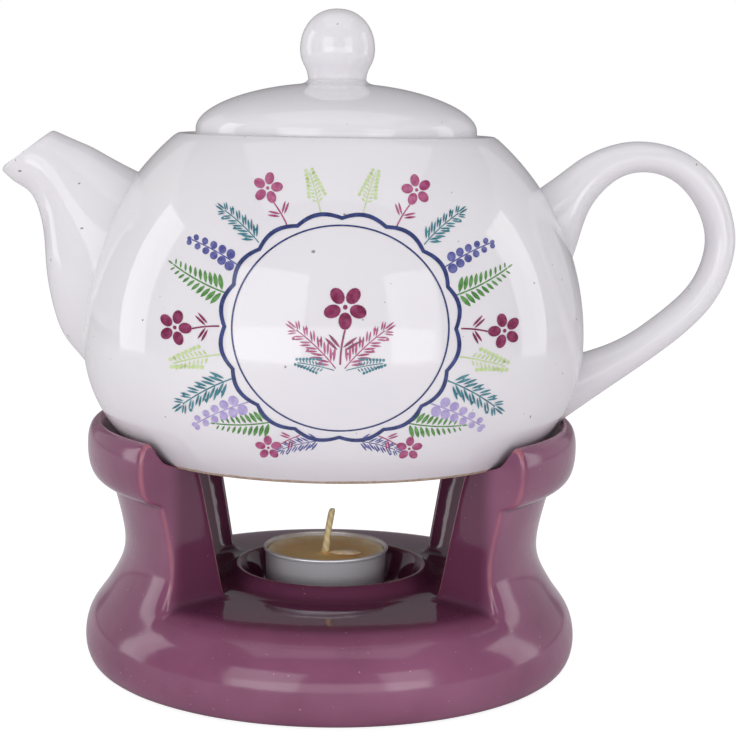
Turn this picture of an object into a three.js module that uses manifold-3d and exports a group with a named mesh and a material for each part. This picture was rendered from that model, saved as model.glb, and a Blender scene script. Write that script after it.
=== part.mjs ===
// A stoneware teapot standing on a tea light warmer. Millimetres, +Z up.
// The spout points to -X, the handle to +X, and the warmer's two open windows face -Y and +Y.
// The origin lies on the table, below the middle of the whole object.
import * as THREE from "three";
import { mergeVertices } from "three/addons/utils/BufferGeometryUtils.js";
import Module from "manifold-3d";

const wasm = await Module();
wasm.setup();

// Clearances
const SEAT_GAP = 0.3; // between a piece and what it rests on
const JOINT_GAP = 0.3; // between two clay pieces that the glaze joins

// Tea light: a standard drawn cup with its wax, wick and wick foot
const CUP_RADIUS = 19.5;
const CUP_HEIGHT = 16;
const CUP_WALL = 0.6;
const CUP_TAPER = 0.8; // how much narrower the cup is at its floor
const CUP_BEAD = 0.5; // radius of the rolled rim
const WAX_BELOW_RIM = 2;
const WAX_DIP = 0.9; // how far the wax sinks from its edge to the wick
const WICK_RADIUS = 1.05;
const WICK_ABOVE_WAX = 13.5;
const WICK_LEAN = 1.9;
const WICK_FOOT_RADIUS = 6;
const WICK_FOOT_PLATE = 0.5;
const WICK_COLLAR_WALL = 0.5;
const WICK_COLLAR_HEIGHT = 4;
const TEALIGHT_SHIFT = -1.7; // the cup stands a little to the spout's side in its well
const CUP_FOOT_ROUND = 1; // of the cup's and the wax's lower edges

// Warmer: base
const BASE_RADIUS = 76;
const EQUATOR_HEIGHT = 8.5;
const FOOT_RING_INSET = 4; // from the widest place to the outside of the foot ring
const FOOT_RING_WIDTH = 9;
const DECK_HEIGHT = 25.2;
const DECK_RADIUS = 57; // where the flat deck starts to fall to the shoulder
const BASE_WALL = 6;
const RECESS_ROUND = 10; // where the recess below the base turns into the foot ring
const WELL_DEPTH = 6.8;
const WELL_PLAY = 3.4; // round the cup
const LIP_HEIGHT = 4;
const LIP_WIDTH = 5.6;

// Warmer: the two side walls and the cradle on top of them
const WALL_HALF_ANGLE = 43.9; // degrees to either side of the X axis
const WALL_THICKNESS = 17.4;
const WALL_FOOT_RADIUS = 43.2; // inner face at the deck
const LEDGE_HEIGHT = 66.6;
const LEDGE_UNDER_FOOT = 8.8; // how far the ledge reaches in under the pot
const CRADLE_DEPTH = 8.4;
const CRADLE_PLAY = 1.6;
const BAND_WALL = 4.4;
const BAND_HEIGHT = 18.4; // from the band's lower edge to its top
const BAND_STEP = 1.4;
const EDGE_ROUND = 3; // rounding of the walls' cut faces
const BULLNOSE = 2; // of the ledge's inner edge
const FOOT_FILLET = 5; // where the cut faces run out over the deck
const FLANK_FILLET = 8; // where the outer sides flare out into the shoulder
const INNER_FILLET = 2.4; // where the inner faces meet the deck

// Pot body
const POT_HEIGHT = 94.8;
const POT_FOOT_RADIUS = 61.5;
const BELLY_OVERHANG = 0.2; // how far the belly stands out past the warmer, which is made to match it
const BELLY_HEIGHT = 33.8;
const LOWER_SWELL = 5.7; // how far the lower curve is drawn in before it turns to the foot
const CROWN = 78.5; // height of the upper curve's ellipse
const POT_WALL = 4.6;
const MOUTH_RADIUS = 38.5;
const GALLERY_WIDTH = 4.7;
const GALLERY_DEPTH = 1.2;
const RIM_ROUND = 1.6;

// Lid and knob
const LID_PLAY = 0.8;
const LID_EDGE = 2.4;
const LID_RISE = 13;
const LID_WALL = 4.4;
const FLANGE_PLAY = 1.7;
const FLANGE_DEPTH = 10;
const FLANGE_WALL = 3.4;
const FLANGE_CHAMFER = 1;
const STEAM_HOLE_RADIUS = 1.8;
const STEAM_HOLE_PLACE = 22;
const KNOB_NECK_RADIUS = 8.5;
const KNOB_FILLET = 1.8; // where the lid runs up to the knob
const KNOB_RADIUS = 11;
const KNOB_HEIGHT = 20.8;
const KNOB_BALL_HEIGHT = 8.6; // from the knob's foot to its widest place

// Spout
const SPOUT_REACH = 25.5; // from the belly to the tip
const SPOUT_RISE = 61; // from the belly's level to the top of the lip
const SPOUT_HALF_WIDTH = 22; // where it leaves the pot
const SPOUT_WALL = 3.2;
const LIP_BULGE = 1.6;
const STRAINER_HOLE_RADIUS = 2.4;
const STRAINER_PITCH = 7.4;
const STRAINER_HEIGHT = 23; // of the middle hole above the belly

// Handle
const HANDLE_REACH = 46.1; // from the belly to the back of the bow
const HANDLE_RISE = 60; // from the belly's level to the top of the bow
const HANDLE_HALF_WIDTH = 6.5;

// Faces round a full turn
const TURN_STEPS = 44;
const SMALL_TURN_STEPS = 24;
const HOLE_STEPS = 10;

// Straight steps along a curve of an outline
const CURVE_STEPS = 8;
const SMALL_CURVE_STEPS = 4;

// Points closer than this are one point
const WELD = 1e-4;

// Places that follow from the sizes above
const FOOT_RING_RADIUS = BASE_RADIUS - FOOT_RING_INSET;
const BELLY_RADIUS = BASE_RADIUS + BELLY_OVERHANG;
const wellFloor = DECK_HEIGHT - WELL_DEPTH;
const cupFloor = wellFloor + SEAT_GAP;
const wellRadius = CUP_RADIUS + WELL_PLAY;
const potBottom = LEDGE_HEIGHT + SEAT_GAP;
const potTop = potBottom + POT_HEIGHT;
const bellyLevel = potBottom + BELLY_HEIGHT;
const galleryRadius = MOUTH_RADIUS + GALLERY_WIDTH;
const galleryFloor = potTop - GALLERY_DEPTH;
const bandTop = LEDGE_HEIGHT + CRADLE_DEPTH;
const ledgeInnerRadius = POT_FOOT_RADIUS - LEDGE_UNDER_FOOT;

const glazeWhite = new THREE.MeshStandardMaterial({ color: 0xf1eff1, roughness: 0.12, metalness: 0 });
const glazePurple = new THREE.MeshStandardMaterial({ color: 0x6b4459, roughness: 0.12, metalness: 0 });
const aluminium = new THREE.MeshStandardMaterial({ color: 0xc9cbcd, roughness: 0.35, metalness: 1 });
const tinPlate = new THREE.MeshStandardMaterial({ color: 0xa8aaac, roughness: 0.4, metalness: 1 });
const wax = new THREE.MeshStandardMaterial({ color: 0xd9a14b, roughness: 0.45, metalness: 0 });
const cotton = new THREE.MeshStandardMaterial({ color: 0xe2cd9c, roughness: 0.9, metalness: 0 });

// Solids

// Drops the triangles that merging has closed up, such as those at a pole.
function openTriangles(index) {
  const kept = [];
  for (let i = 0; i < index.length; i += 3) {
    const [a, b, c] = [index[i], index[i + 1], index[i + 2]];
    if (a !== b && b !== c && c !== a) kept.push(a, b, c);
  }
  return kept;
}

function toSolid(geometry) {
  geometry.deleteAttribute("normal");
  geometry.deleteAttribute("uv");
  const merged = mergeVertices(geometry, WELD);
  const mesh = new wasm.Mesh({
    numProp: 3,
    vertProperties: new Float32Array(merged.attributes.position.array),
    triVerts: new Uint32Array(openTriangles(merged.index.array)),
  });
  return new wasm.Manifold(mesh);
}

function toMesh(name, solid, material) {
  const { vertProperties, triVerts } = solid.getMesh();
  const geometry = new THREE.BufferGeometry();
  geometry.setAttribute("position", new THREE.BufferAttribute(vertProperties, 3));
  geometry.setIndex(new THREE.BufferAttribute(triVerts, 1));
  geometry.computeVertexNormals();
  const mesh = new THREE.Mesh(geometry, material);
  mesh.name = name;
  return mesh;
}

// Turns an outline of [radius, height] points about the Z axis.
function revolve(outline, steps = TURN_STEPS) {
  const points = outline.map(([radius, height]) => new THREE.Vector2(radius, height));
  return toSolid(new THREE.LatheGeometry(points, steps).rotateX(Math.PI / 2));
}

// Skins a row of rings, each a loop of as many points, and closes both ends.
function loft(rings) {
  const count = rings[0].length;
  const positions = rings.flat().flatMap((point) => [point.x, point.y, point.z]);
  const index = [];
  for (let ring = 0; ring + 1 < rings.length; ring++) {
    for (let i = 0; i < count; i++) {
      const [a, b] = [ring * count + i, ring * count + ((i + 1) % count)];
      index.push(a, b, b + count, a, b + count, a + count);
    }
  }
  index.push(...ladder(0, count).reverse(), ...ladder((rings.length - 1) * count, count));
  const geometry = new THREE.BufferGeometry();
  geometry.setAttribute("position", new THREE.Float32BufferAttribute(positions, 3));
  geometry.setIndex(index);
  return toSolid(geometry);
}

// Closes a ring of an even number of points with rungs between its two halves, which also fits a
// ring that doesn't lie in one plane.
function ladder(start, count) {
  const faces = [];
  for (let i = 0; i < count / 2 - 1; i++) {
    const [a, b, c, d] = [i, i + 1, count - 2 - i, count - 1 - i].map((place) => place + start);
    faces.push(a, b, c, a, c, d);
  }
  return faces;
}

// Outlines

function vectors(points) {
  return points.map(([radius, height]) => new THREE.Vector2(radius, height));
}

function pairs(points) {
  return points.map((point) => [point.x, point.y]);
}

function bezier(from, control1, control2, to, steps) {
  return pairs(new THREE.CubicBezierCurve(...vectors([from, control1, control2, to])).getPoints(steps));
}

function spline(points, steps) {
  return pairs(new THREE.SplineCurve(vectors(points)).getPoints(steps));
}

function arc(centre, radiusX, radiusY, fromDegrees, toDegrees, steps) {
  const [from, to] = [fromDegrees, toDegrees].map(THREE.MathUtils.degToRad);
  const clockwise = to < from;
  const curve = new THREE.EllipseCurve(centre[0], centre[1], radiusX, radiusY, from, to, clockwise);
  return pairs(curve.getPoints(steps));
}

// Moves an open outline sideways, outward where it runs upward on the outside of a piece.
function offset(points, distance) {
  return points.map((point, i) => {
    const before = points[Math.max(i - 1, 0)];
    const after = points[Math.min(i + 1, points.length - 1)];
    const along = new THREE.Vector2(after[0] - before[0], after[1] - before[1]).normalize();
    return [point[0] + along.y * distance, point[1] - along.x * distance];
  });
}

// Radius of an outline at a height, read between its points.
function radiusAt(points, height) {
  const next = points.findIndex((point) => point[1] >= height);
  const [[radius1, height1], [radius2, height2]] = [points[next - 1], points[next]];
  return radius1 + ((radius2 - radius1) * (height - height1)) / (height2 - height1);
}

// Pot body

// The pot's side: a full lower curve up to the belly, and an ellipse from there to the rim.
const rimRadius = BELLY_RADIUS * Math.sqrt(1 - ((POT_HEIGHT - BELLY_HEIGHT) / CROWN) ** 2);
const rimAngle = THREE.MathUtils.radToDeg(Math.asin((POT_HEIGHT - BELLY_HEIGHT) / CROWN));
const potSide = [
  ...bezier(
    [POT_FOOT_RADIUS, potBottom],
    [BELLY_RADIUS - LOWER_SWELL, potBottom + BELLY_HEIGHT * 0.27],
    [BELLY_RADIUS, bellyLevel - BELLY_HEIGHT * 0.44],
    [BELLY_RADIUS, bellyLevel],
    CURVE_STEPS,
  ),
  ...arc([0, bellyLevel], BELLY_RADIUS, CROWN, 0, rimAngle, CURVE_STEPS).slice(1),
];

// The space that the pot fills, with the joint's gap round it, which cuts the spout and the handle.
function potKeepOut() {
  const side = offset(potSide, JOINT_GAP);
  return revolve([[0, potBottom], ...side, [0, side.at(-1)[1]]]);
}

function strainerHoles() {
  const holes = [];
  for (const row of [-1, 0, 1]) {
    const count = row === 0 ? 3 : 2;
    for (let i = 0; i < count; i++) {
      const side = (i - (count - 1) / 2) * STRAINER_PITCH;
      const height = bellyLevel + STRAINER_HEIGHT + row * STRAINER_PITCH * Math.sin(Math.PI / 3);
      const drill = new THREE.CylinderGeometry(STRAINER_HOLE_RADIUS, STRAINER_HOLE_RADIUS, BELLY_RADIUS,
        HOLE_STEPS);
      drill.rotateZ(Math.PI / 2).translate(-BELLY_RADIUS, side, height);
      holes.push(toSolid(drill));
    }
  }
  return holes;
}

function potBody() {
  const shoulder = galleryFloor - POT_WALL;
  const inside = offset(potSide, -POT_WALL).filter(([, height]) => height > potBottom + POT_WALL
    && height < shoulder - POT_WALL);
  const floor = potBottom + POT_WALL;
  const outline = [
    [0, potBottom],
    ...potSide.slice(0, -1),
    [rimRadius + RIM_ROUND * 0.3, potTop - RIM_ROUND * 0.5],
    [rimRadius - RIM_ROUND * 0.5, potTop],
    [galleryRadius, potTop],
    [galleryRadius, galleryFloor],
    [MOUTH_RADIUS, galleryFloor],
    [MOUTH_RADIUS, shoulder],
    ...inside.reverse(),
    [POT_FOOT_RADIUS - POT_WALL, floor],
    [0, floor],
  ];
  let body = revolve(outline);
  for (const hole of strainerHoles()) body = body.subtract(hole);
  return toMesh("pot_body", body, glazeWhite);
}

// Spout and handle are lofts. A station gives a section's two ends in the plane y = 0, as the distance
// out from the belly and the height above it, then its half width, how much wider it is towards its
// first end, and how far its middle bulges out.

function scaledStations(stations, reach, rise, width) {
  const place = ([out, up]) => [out * reach, up * rise];
  return stations.map(([first, last, half, egg, bulge]) => (
    [place(first), place(last), half * width, egg, bulge]));
}

function stationRing(station, sides, wall) {
  const [[firstOut, firstUp], [lastOut, lastUp], halfWidth, egg, bulge] = station;
  const first = new THREE.Vector2(BELLY_RADIUS + firstOut, bellyLevel + firstUp);
  const last = new THREE.Vector2(BELLY_RADIUS + lastOut, bellyLevel + lastUp);
  const middle = first.clone().add(last).multiplyScalar(0.5);
  const half = first.clone().sub(last).multiplyScalar(0.5);
  const height = half.length();
  const along = half.clone().normalize();
  const outward = new THREE.Vector2(along.y, -along.x);
  const ring = [];
  for (let i = 0; i < sides; i++) {
    const angle = (2 * Math.PI * i) / sides;
    const [c, s] = [Math.cos(angle), Math.sin(angle)];
    const across = (halfWidth - wall) * c * (1 + egg * s);
    const place = middle.clone().addScaledVector(along, (height - wall) * s);
    place.addScaledVector(outward, bulge * c * c);
    ring.push(new THREE.Vector3(place.x, across, place.y));
  }
  return ring;
}

// Rings through the stations, with each of their numbers on its own smooth curve.
function stationRings(stations, stepsBetween, sides, wall = 0) {
  const rows = stations.map(([first, last, ...rest]) => [...first, ...last, ...rest]);
  const count = (stations.length - 1) * stepsBetween;
  const rings = [];
  for (let i = 0; i <= count; i++) {
    const values = rows[0].map((_, column) => {
      const curve = rows.map((row) => row[column]);
      return splineValue(curve, i / stepsBetween);
    });
    const [a, b, c, d, halfWidth, egg, bulge] = values;
    rings.push(stationRing([[a, b], [c, d], halfWidth, egg, bulge], sides, wall));
  }
  return rings;
}

function splineValue(values, place) {
  const curve = new THREE.SplineCurve(values.map((value, i) => new THREE.Vector2(i, value)));
  return curve.getPoint(place / (values.length - 1)).y;
}

// From inside the pot to the lip, in shares of the spout's reach, rise and half width.
const SPOUT_STATIONS = [
  [[-1.02, 0.713], [-0.471, -0.238], 0.955, 0.3, 0],
  [[-0.588, 0.811], [0, -0.139], 1, 0.3, 0],
  [[-0.333, 0.866], [0.275, 0.008], 0.864, 0.26, 0],
  [[-0.098, 0.92], [0.427, 0.254], 0.705, 0.2, 0],
  [[0.102, 0.954], [0.471, 0.508], 0.582, 0.12, 0],
  [[0.267, 0.984], [0.596, 0.679], 0.509, 0.05, 0],
  [[0.361, 0.998], [0.82, 0.746], 0.464, 0, LIP_BULGE / 2],
  [[0.408, 0.989], [1, 0.803], 0.427, 0, LIP_BULGE],
];

function spoutStations() {
  return scaledStations(SPOUT_STATIONS, SPOUT_REACH, SPOUT_RISE, SPOUT_HALF_WIDTH);
}

// The channel runs on past both ends of the spout.
function spoutChannel() {
  const rings = stationRings(spoutStations(), 2, 16, SPOUT_WALL);
  const mouth = rings[rings.length - 1];
  const before = rings[rings.length - 2];
  const beyond = mouth.map((point, i) => point.clone().multiplyScalar(2).sub(before[i]));
  return loft([...rings, beyond]);
}

function spout(keepOut) {
  const outer = loft(stationRings(spoutStations(), 2, 20));
  const hollow = outer.subtract(spoutChannel()).subtract(keepOut);
  return toMesh("spout", hollow, glazeWhite);
}

// From inside the pot round the bow and back, in shares of the handle's reach, rise and half width.
const HANDLE_STATIONS = [
  [[-0.434, 0.692], [-0.13, 0.292], 1.308, 0, 0],
  [[-0.184, 0.828], [-0.052, 0.475], 1.308, 0, 0],
  [[-0.022, 0.925], [0.022, 0.667], 1.077, 0, 0],
  [[0.174, 0.985], [0.195, 0.815], 1, 0, 0],
  [[0.38, 1.002], [0.386, 0.855], 1, 0, 0],
  [[0.64, 0.955], [0.575, 0.815], 1, 0, 0],
  [[0.879, 0.802], [0.725, 0.7], 1, 0, 0],
  [[1, 0.55], [0.811, 0.533], 1, 0, 0],
  [[0.959, 0.338], [0.777, 0.375], 1, 0, 0],
  [[0.837, 0.158], [0.677, 0.245], 1, 0, 0],
  [[0.625, -0.005], [0.49, 0.118], 1, 0, 0],
  [[0.369, -0.155], [0.299, 0.012], 1, 0, 0],
  [[0.074, -0.318], [0.1, -0.055], 1.154, 0, 0],
  [[-0.217, -0.483], [-0.13, -0.108], 1.308, 0, 0],
];

function handle(keepOut) {
  const stations = scaledStations(HANDLE_STATIONS, HANDLE_REACH, HANDLE_RISE, HANDLE_HALF_WIDTH);
  const bow = loft(stationRings(stations, 2, 14));
  return toMesh("handle", bow.subtract(keepOut), glazeWhite);
}

// Lid

const lidSeat = galleryFloor + SEAT_GAP;
const lidRadius = galleryRadius - LID_PLAY;
const knobFoot = lidSeat + LID_EDGE + LID_RISE + KNOB_FILLET;

function lid() {
  const flange = MOUTH_RADIUS - FLANGE_PLAY;
  const flangeFoot = galleryFloor - FLANGE_DEPTH;
  const edgeTop = lidSeat + LID_EDGE;
  const dome = bezier(
    [lidRadius, edgeTop],
    [lidRadius * 0.965, edgeTop + LID_RISE * 0.36],
    [lidRadius * 0.56, edgeTop + LID_RISE * 0.78],
    [KNOB_NECK_RADIUS + KNOB_FILLET * 1.5, edgeTop + LID_RISE],
    CURVE_STEPS,
  );
  const fillet = bezier(
    [KNOB_NECK_RADIUS + KNOB_FILLET * 1.5, edgeTop + LID_RISE],
    [KNOB_NECK_RADIUS + KNOB_FILLET * 0.6, knobFoot - KNOB_FILLET * 0.7],
    [KNOB_NECK_RADIUS, knobFoot - KNOB_FILLET * 0.5],
    [KNOB_NECK_RADIUS, knobFoot],
    SMALL_CURVE_STEPS,
  ).slice(1);
  const inside = dome
    .filter(([radius]) => radius < flange - FLANGE_WALL)
    .map(([radius, height]) => [radius, height - LID_WALL])
    .reverse();
  const flangeInside = flange - FLANGE_WALL;
  const outline = [
    [0, inside[0][1]],
    ...inside,
    [flangeInside, inside.at(-1)[1] - FLANGE_CHAMFER],
    [flangeInside, flangeFoot + FLANGE_CHAMFER],
    [flangeInside + FLANGE_CHAMFER, flangeFoot],
    [flange - FLANGE_CHAMFER, flangeFoot],
    [flange, flangeFoot + FLANGE_CHAMFER],
    [flange, lidSeat],
    [lidRadius, lidSeat],
    ...dome,
    ...fillet,
    [0, knobFoot],
  ];
  const hole = new THREE.CylinderGeometry(STEAM_HOLE_RADIUS, STEAM_HOLE_RADIUS, 4 * LID_WALL, HOLE_STEPS);
  hole.rotateX(Math.PI / 2).translate(0, STEAM_HOLE_PLACE, knobFoot - LID_WALL);
  return toMesh("lid", revolve(outline).subtract(toSolid(hole)), glazeWhite);
}

function lidKnob() {
  const foot = knobFoot + JOINT_GAP;
  const ball = foot + KNOB_BALL_HEIGHT;
  const neck = bezier(
    [KNOB_NECK_RADIUS, foot],
    [KNOB_NECK_RADIUS + KNOB_FILLET * 0.3, foot + KNOB_BALL_HEIGHT * 0.4],
    [KNOB_RADIUS, ball - KNOB_BALL_HEIGHT * 0.35],
    [KNOB_RADIUS, ball],
    SMALL_CURVE_STEPS,
  );
  const head = arc([0, ball], KNOB_RADIUS, KNOB_HEIGHT - KNOB_BALL_HEIGHT, 0, 90, CURVE_STEPS).slice(1);
  return toMesh("lid_knob", revolve([[0, foot], ...neck, ...head], SMALL_TURN_STEPS), glazeWhite);
}

// Warmer

// The raised lip round the well: a soft rise from the deck, a round crest and a slope into the well.
function lipOutline() {
  const crest = wellRadius + LIP_WIDTH;
  const outward = (share) => crest + share * LIP_WIDTH;
  const up = (share) => DECK_HEIGHT + share * LIP_HEIGHT;
  return spline([
    [outward(1.07), up(0)],
    [outward(0.64), up(0.2)],
    [outward(0.36), up(0.78)],
    [outward(0.07), up(1)],
    [outward(-0.2), up(0.7)],
    [wellRadius + LIP_WIDTH * 0.23, wellFloor + WELL_DEPTH * 0.2],
    [wellRadius, wellFloor],
  ], CURVE_STEPS);
}

// From the widest place up to the flat deck, which ends in a soft edge.
function shoulder() {
  const rise = DECK_HEIGHT - EQUATOR_HEIGHT;
  const run = BASE_RADIUS - DECK_RADIUS;
  return bezier(
    [BASE_RADIUS, EQUATOR_HEIGHT],
    [BASE_RADIUS, EQUATOR_HEIGHT + rise * 0.57],
    [DECK_RADIUS + run * 0.53, DECK_HEIGHT],
    [DECK_RADIUS, DECK_HEIGHT],
    CURVE_STEPS,
  );
}

function baseOutline() {
  const ringInside = FOOT_RING_RADIUS - FOOT_RING_WIDTH;
  const roof = DECK_HEIGHT - BASE_WALL;
  const wellUnderside = wellFloor - BASE_WALL;
  return [
    [0, wellUnderside],
    [wellRadius + BASE_WALL / 2, wellUnderside],
    [wellRadius + BASE_WALL / 2 + LIP_WIDTH, roof],
    ...arc([ringInside - RECESS_ROUND, roof - RECESS_ROUND], RECESS_ROUND, RECESS_ROUND, 90, 0,
      SMALL_CURVE_STEPS),
    [ringInside, 0],
    ...bezier([FOOT_RING_RADIUS, 0], [FOOT_RING_RADIUS * 0.25 + BASE_RADIUS * 0.75, 0],
      [BASE_RADIUS, EQUATOR_HEIGHT * 0.3], [BASE_RADIUS, EQUATOR_HEIGHT], SMALL_CURVE_STEPS),
    ...shoulder().slice(1),
    ...lipOutline(),
    [0, wellFloor],
  ];
}

// Radius of the walls' inner face, which leans out to the ledge.
function innerFace(height) {
  const share = (height - DECK_HEIGHT) / (LEDGE_HEIGHT - BULLNOSE - DECK_HEIGHT);
  return WALL_FOOT_RADIUS + share * (ledgeInnerRadius - WALL_FOOT_RADIUS);
}

// Section of a side wall, with the cradle that holds the pot: its outer side from the foot up and then
// its inner side down again, with as many points each.
const bandFoot = bandTop - BAND_HEIGHT;
const stepFoot = bandFoot - BAND_STEP;
const cradleTop = radiusAt(potSide, bandTop) + CRADLE_PLAY;
const bandRadius = cradleTop + BAND_WALL;
const buriedFoot = DECK_HEIGHT - BASE_WALL * 0.75; // inside the base's top wall

function wallOutside() {
  const flank = (height) => innerFace(height) + WALL_THICKNESS;
  const waist = DECK_HEIGHT + 1.5 * FLANK_FILLET;
  const spread = flank(DECK_HEIGHT) + 1.35 * FLANK_FILLET;
  const band = (share) => bandFoot + share * BAND_HEIGHT;
  const crest = bandRadius - BAND_WALL * 0.7;
  return [
    [spread - FLANK_FILLET, buriedFoot],
    ...bezier([spread, DECK_HEIGHT - FLANK_FILLET * 0.55],
      [spread - FLANK_FILLET * 0.42, DECK_HEIGHT - FLANK_FILLET * 0.13],
      [flank(waist), waist - FLANK_FILLET * 0.6], [flank(waist), waist], SMALL_CURVE_STEPS),
    [flank(stepFoot), stepFoot],
    [flank(bandFoot) + BAND_STEP, bandFoot],
    ...bezier([flank(bandFoot) + BAND_STEP, bandFoot], [bandRadius - BAND_WALL, band(0.12)],
      [bandRadius, band(0.36)], [bandRadius, band(0.62)], SMALL_CURVE_STEPS).slice(1),
    ...bezier([bandRadius, band(0.62)], [bandRadius, band(0.85)], [bandRadius - BAND_WALL / 4, bandTop],
      [crest, bandTop], SMALL_CURVE_STEPS).slice(1),
  ];
}

function wallInside() {
  const cradleFoot = POT_FOOT_RADIUS + CRADLE_PLAY;
  const foot = innerFace(DECK_HEIGHT);
  const levels = [INNER_FILLET, FOOT_FILLET, 2 * FOOT_FILLET, stepFoot - DECK_HEIGHT];
  return [
    [foot - INNER_FILLET, buriedFoot],
    [foot - INNER_FILLET, DECK_HEIGHT - INNER_FILLET / 8],
    [foot - INNER_FILLET * 0.25, DECK_HEIGHT + INNER_FILLET * 0.3],
    ...levels.map((rise) => [innerFace(DECK_HEIGHT + rise), DECK_HEIGHT + rise]),
    [ledgeInnerRadius, LEDGE_HEIGHT - BULLNOSE],
    [ledgeInnerRadius + BULLNOSE * 0.3, LEDGE_HEIGHT - BULLNOSE * 0.3],
    [ledgeInnerRadius + BULLNOSE, LEDGE_HEIGHT],
    ...bezier([cradleFoot, LEDGE_HEIGHT], [cradleFoot + CRADLE_DEPTH * 0.45, LEDGE_HEIGHT],
      [cradleTop - CRADLE_DEPTH * 0.38, LEDGE_HEIGHT + CRADLE_DEPTH * 0.28],
      [cradleTop - CRADLE_DEPTH * 0.1, bandTop - CRADLE_DEPTH * 0.2], SMALL_CURVE_STEPS),
    [cradleTop, bandTop - CRADLE_DEPTH * 0.07],
  ];
}

function wallSection() {
  return [...wallOutside(), ...wallInside().reverse()];
}

// The section drawn in by a distance towards its middle line, for the rounded edges of a cut face.
function drawnIn(section, distance) {
  const middle = (height) => innerFace(height) + WALL_THICKNESS / 2;
  const neck = stepFoot - BAND_STEP;
  const head = (ledgeInnerRadius + bandRadius) / 2;
  const route = [[middle(DECK_HEIGHT), 0], [middle(DECK_HEIGHT), DECK_HEIGHT], [middle(neck), neck],
    [head, LEDGE_HEIGHT - BAND_HEIGHT / 4]];
  const spine = route.map(([radius, height]) => new THREE.Vector3(radius, height, 0));
  const lines = spine.slice(1).map((end, i) => new THREE.Line3(spine[i], end));
  return section.map(([radius, height]) => {
    const point = new THREE.Vector3(radius, height, 0);
    const nearest = lines.map((line) => line.closestPointToPoint(point, true, new THREE.Vector3()));
    nearest.sort((a, b) => a.distanceTo(point) - b.distanceTo(point));
    const inward = nearest[0].sub(point);
    const step = Math.min(distance, inward.length() * 0.7);
    point.addScaledVector(inward.normalize(), step);
    return [point.x, point.y];
  });
}

// Height of the base's top at a radius: the flat deck, and the shoulder outside it.
function baseTop(radius) {
  if (radius <= DECK_RADIUS) return DECK_HEIGHT;
  const falling = shoulder().map(([r, height]) => [height, r]).reverse();
  const next = falling.findIndex(([, r]) => r >= radius);
  if (next < 1) return next === 0 ? DECK_HEIGHT : 0;
  const [[height1, r1], [height2, r2]] = [falling[next - 1], falling[next]];
  return height1 + ((height2 - height1) * (radius - r1)) / (r2 - r1);
}

// How far a cut face runs out over the deck at a point of the section, as a quarter round.
function footRunOut(radius, height) {
  const left = THREE.MathUtils.clamp(baseTop(radius) + FOOT_FILLET - height, 0, FOOT_FILLET);
  return FOOT_FILLET - Math.sqrt(FOOT_FILLET ** 2 - left ** 2);
}

// The section placed parallel to a cut face and a depth behind it.
function ringBehindCut(section, side, depth) {
  const cut = THREE.MathUtils.degToRad(WALL_HALF_ANGLE) * side;
  return section.map(([radius, height]) => {
    const behind = depth - footRunOut(radius, height);
    const along = Math.sqrt(Math.max(radius ** 2 - behind ** 2, 0));
    const x = along * Math.cos(cut) + behind * side * Math.sin(cut);
    const y = along * Math.sin(cut) - behind * side * Math.cos(cut);
    return new THREE.Vector3(x, y, height);
  });
}

function sideWall() {
  const section = wallSection();
  const roundSteps = [1, 0.65, 0.25, 0]; // from the cut face to the full section
  const rounded = (side) => roundSteps.map((share) => {
    const depth = EDGE_ROUND * (1 - share);
    const inset = EDGE_ROUND - Math.sqrt(EDGE_ROUND ** 2 - (EDGE_ROUND * share) ** 2);
    return ringBehindCut(drawnIn(section, inset), side, depth);
  });
  const plainDepth = FOOT_FILLET + EDGE_ROUND * 1.33;
  const plainAngle = WALL_HALF_ANGLE - THREE.MathUtils.radToDeg(plainDepth / WALL_FOOT_RADIUS);
  const between = [];
  for (let i = 0; i <= CURVE_STEPS; i++) {
    const angle = THREE.MathUtils.degToRad(-plainAngle + (2 * plainAngle * i) / CURVE_STEPS);
    between.push(section.map(([radius, height]) => new THREE.Vector3(
      radius * Math.cos(angle), radius * Math.sin(angle), height)));
  }
  return loft([...rounded(1), ...between.reverse(), ...rounded(-1).reverse()]);
}

function warmer() {
  const wall = sideWall();
  const base = revolve(baseOutline());
  const solid = base.add(wall).add(wall.rotate([0, 0, 180]));
  return toMesh("warmer", solid, glazePurple);
}

// Tea light

function tealightCup() {
  const top = cupFloor + CUP_HEIGHT;
  const side = CUP_RADIUS - CUP_BEAD;
  const foot = side - CUP_TAPER;
  const beadLevel = top - CUP_BEAD;
  const outline = [
    [0, cupFloor],
    [foot - CUP_FOOT_ROUND, cupFloor],
    [foot, cupFloor + CUP_FOOT_ROUND],
    [side, beadLevel - CUP_BEAD],
    ...arc([side, beadLevel], CUP_BEAD, CUP_BEAD, -60, 150, SMALL_CURVE_STEPS),
    [side - CUP_WALL, beadLevel - CUP_BEAD],
    [foot - CUP_WALL, cupFloor + CUP_WALL * 2],
    [foot - CUP_WALL * 2, cupFloor + CUP_WALL],
    [0, cupFloor + CUP_WALL],
  ];
  return toMesh("tealight_cup", revolve(outline, SMALL_TURN_STEPS), aluminium);
}

const waxFoot = cupFloor + CUP_WALL + SEAT_GAP;
const waxTop = cupFloor + CUP_HEIGHT - WAX_BELOW_RIM;
const collarRadius = WICK_RADIUS + SEAT_GAP + WICK_COLLAR_WALL;
const plateTop = waxFoot + WICK_FOOT_PLATE;
const collarTop = plateTop + WICK_COLLAR_HEIGHT;

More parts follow.
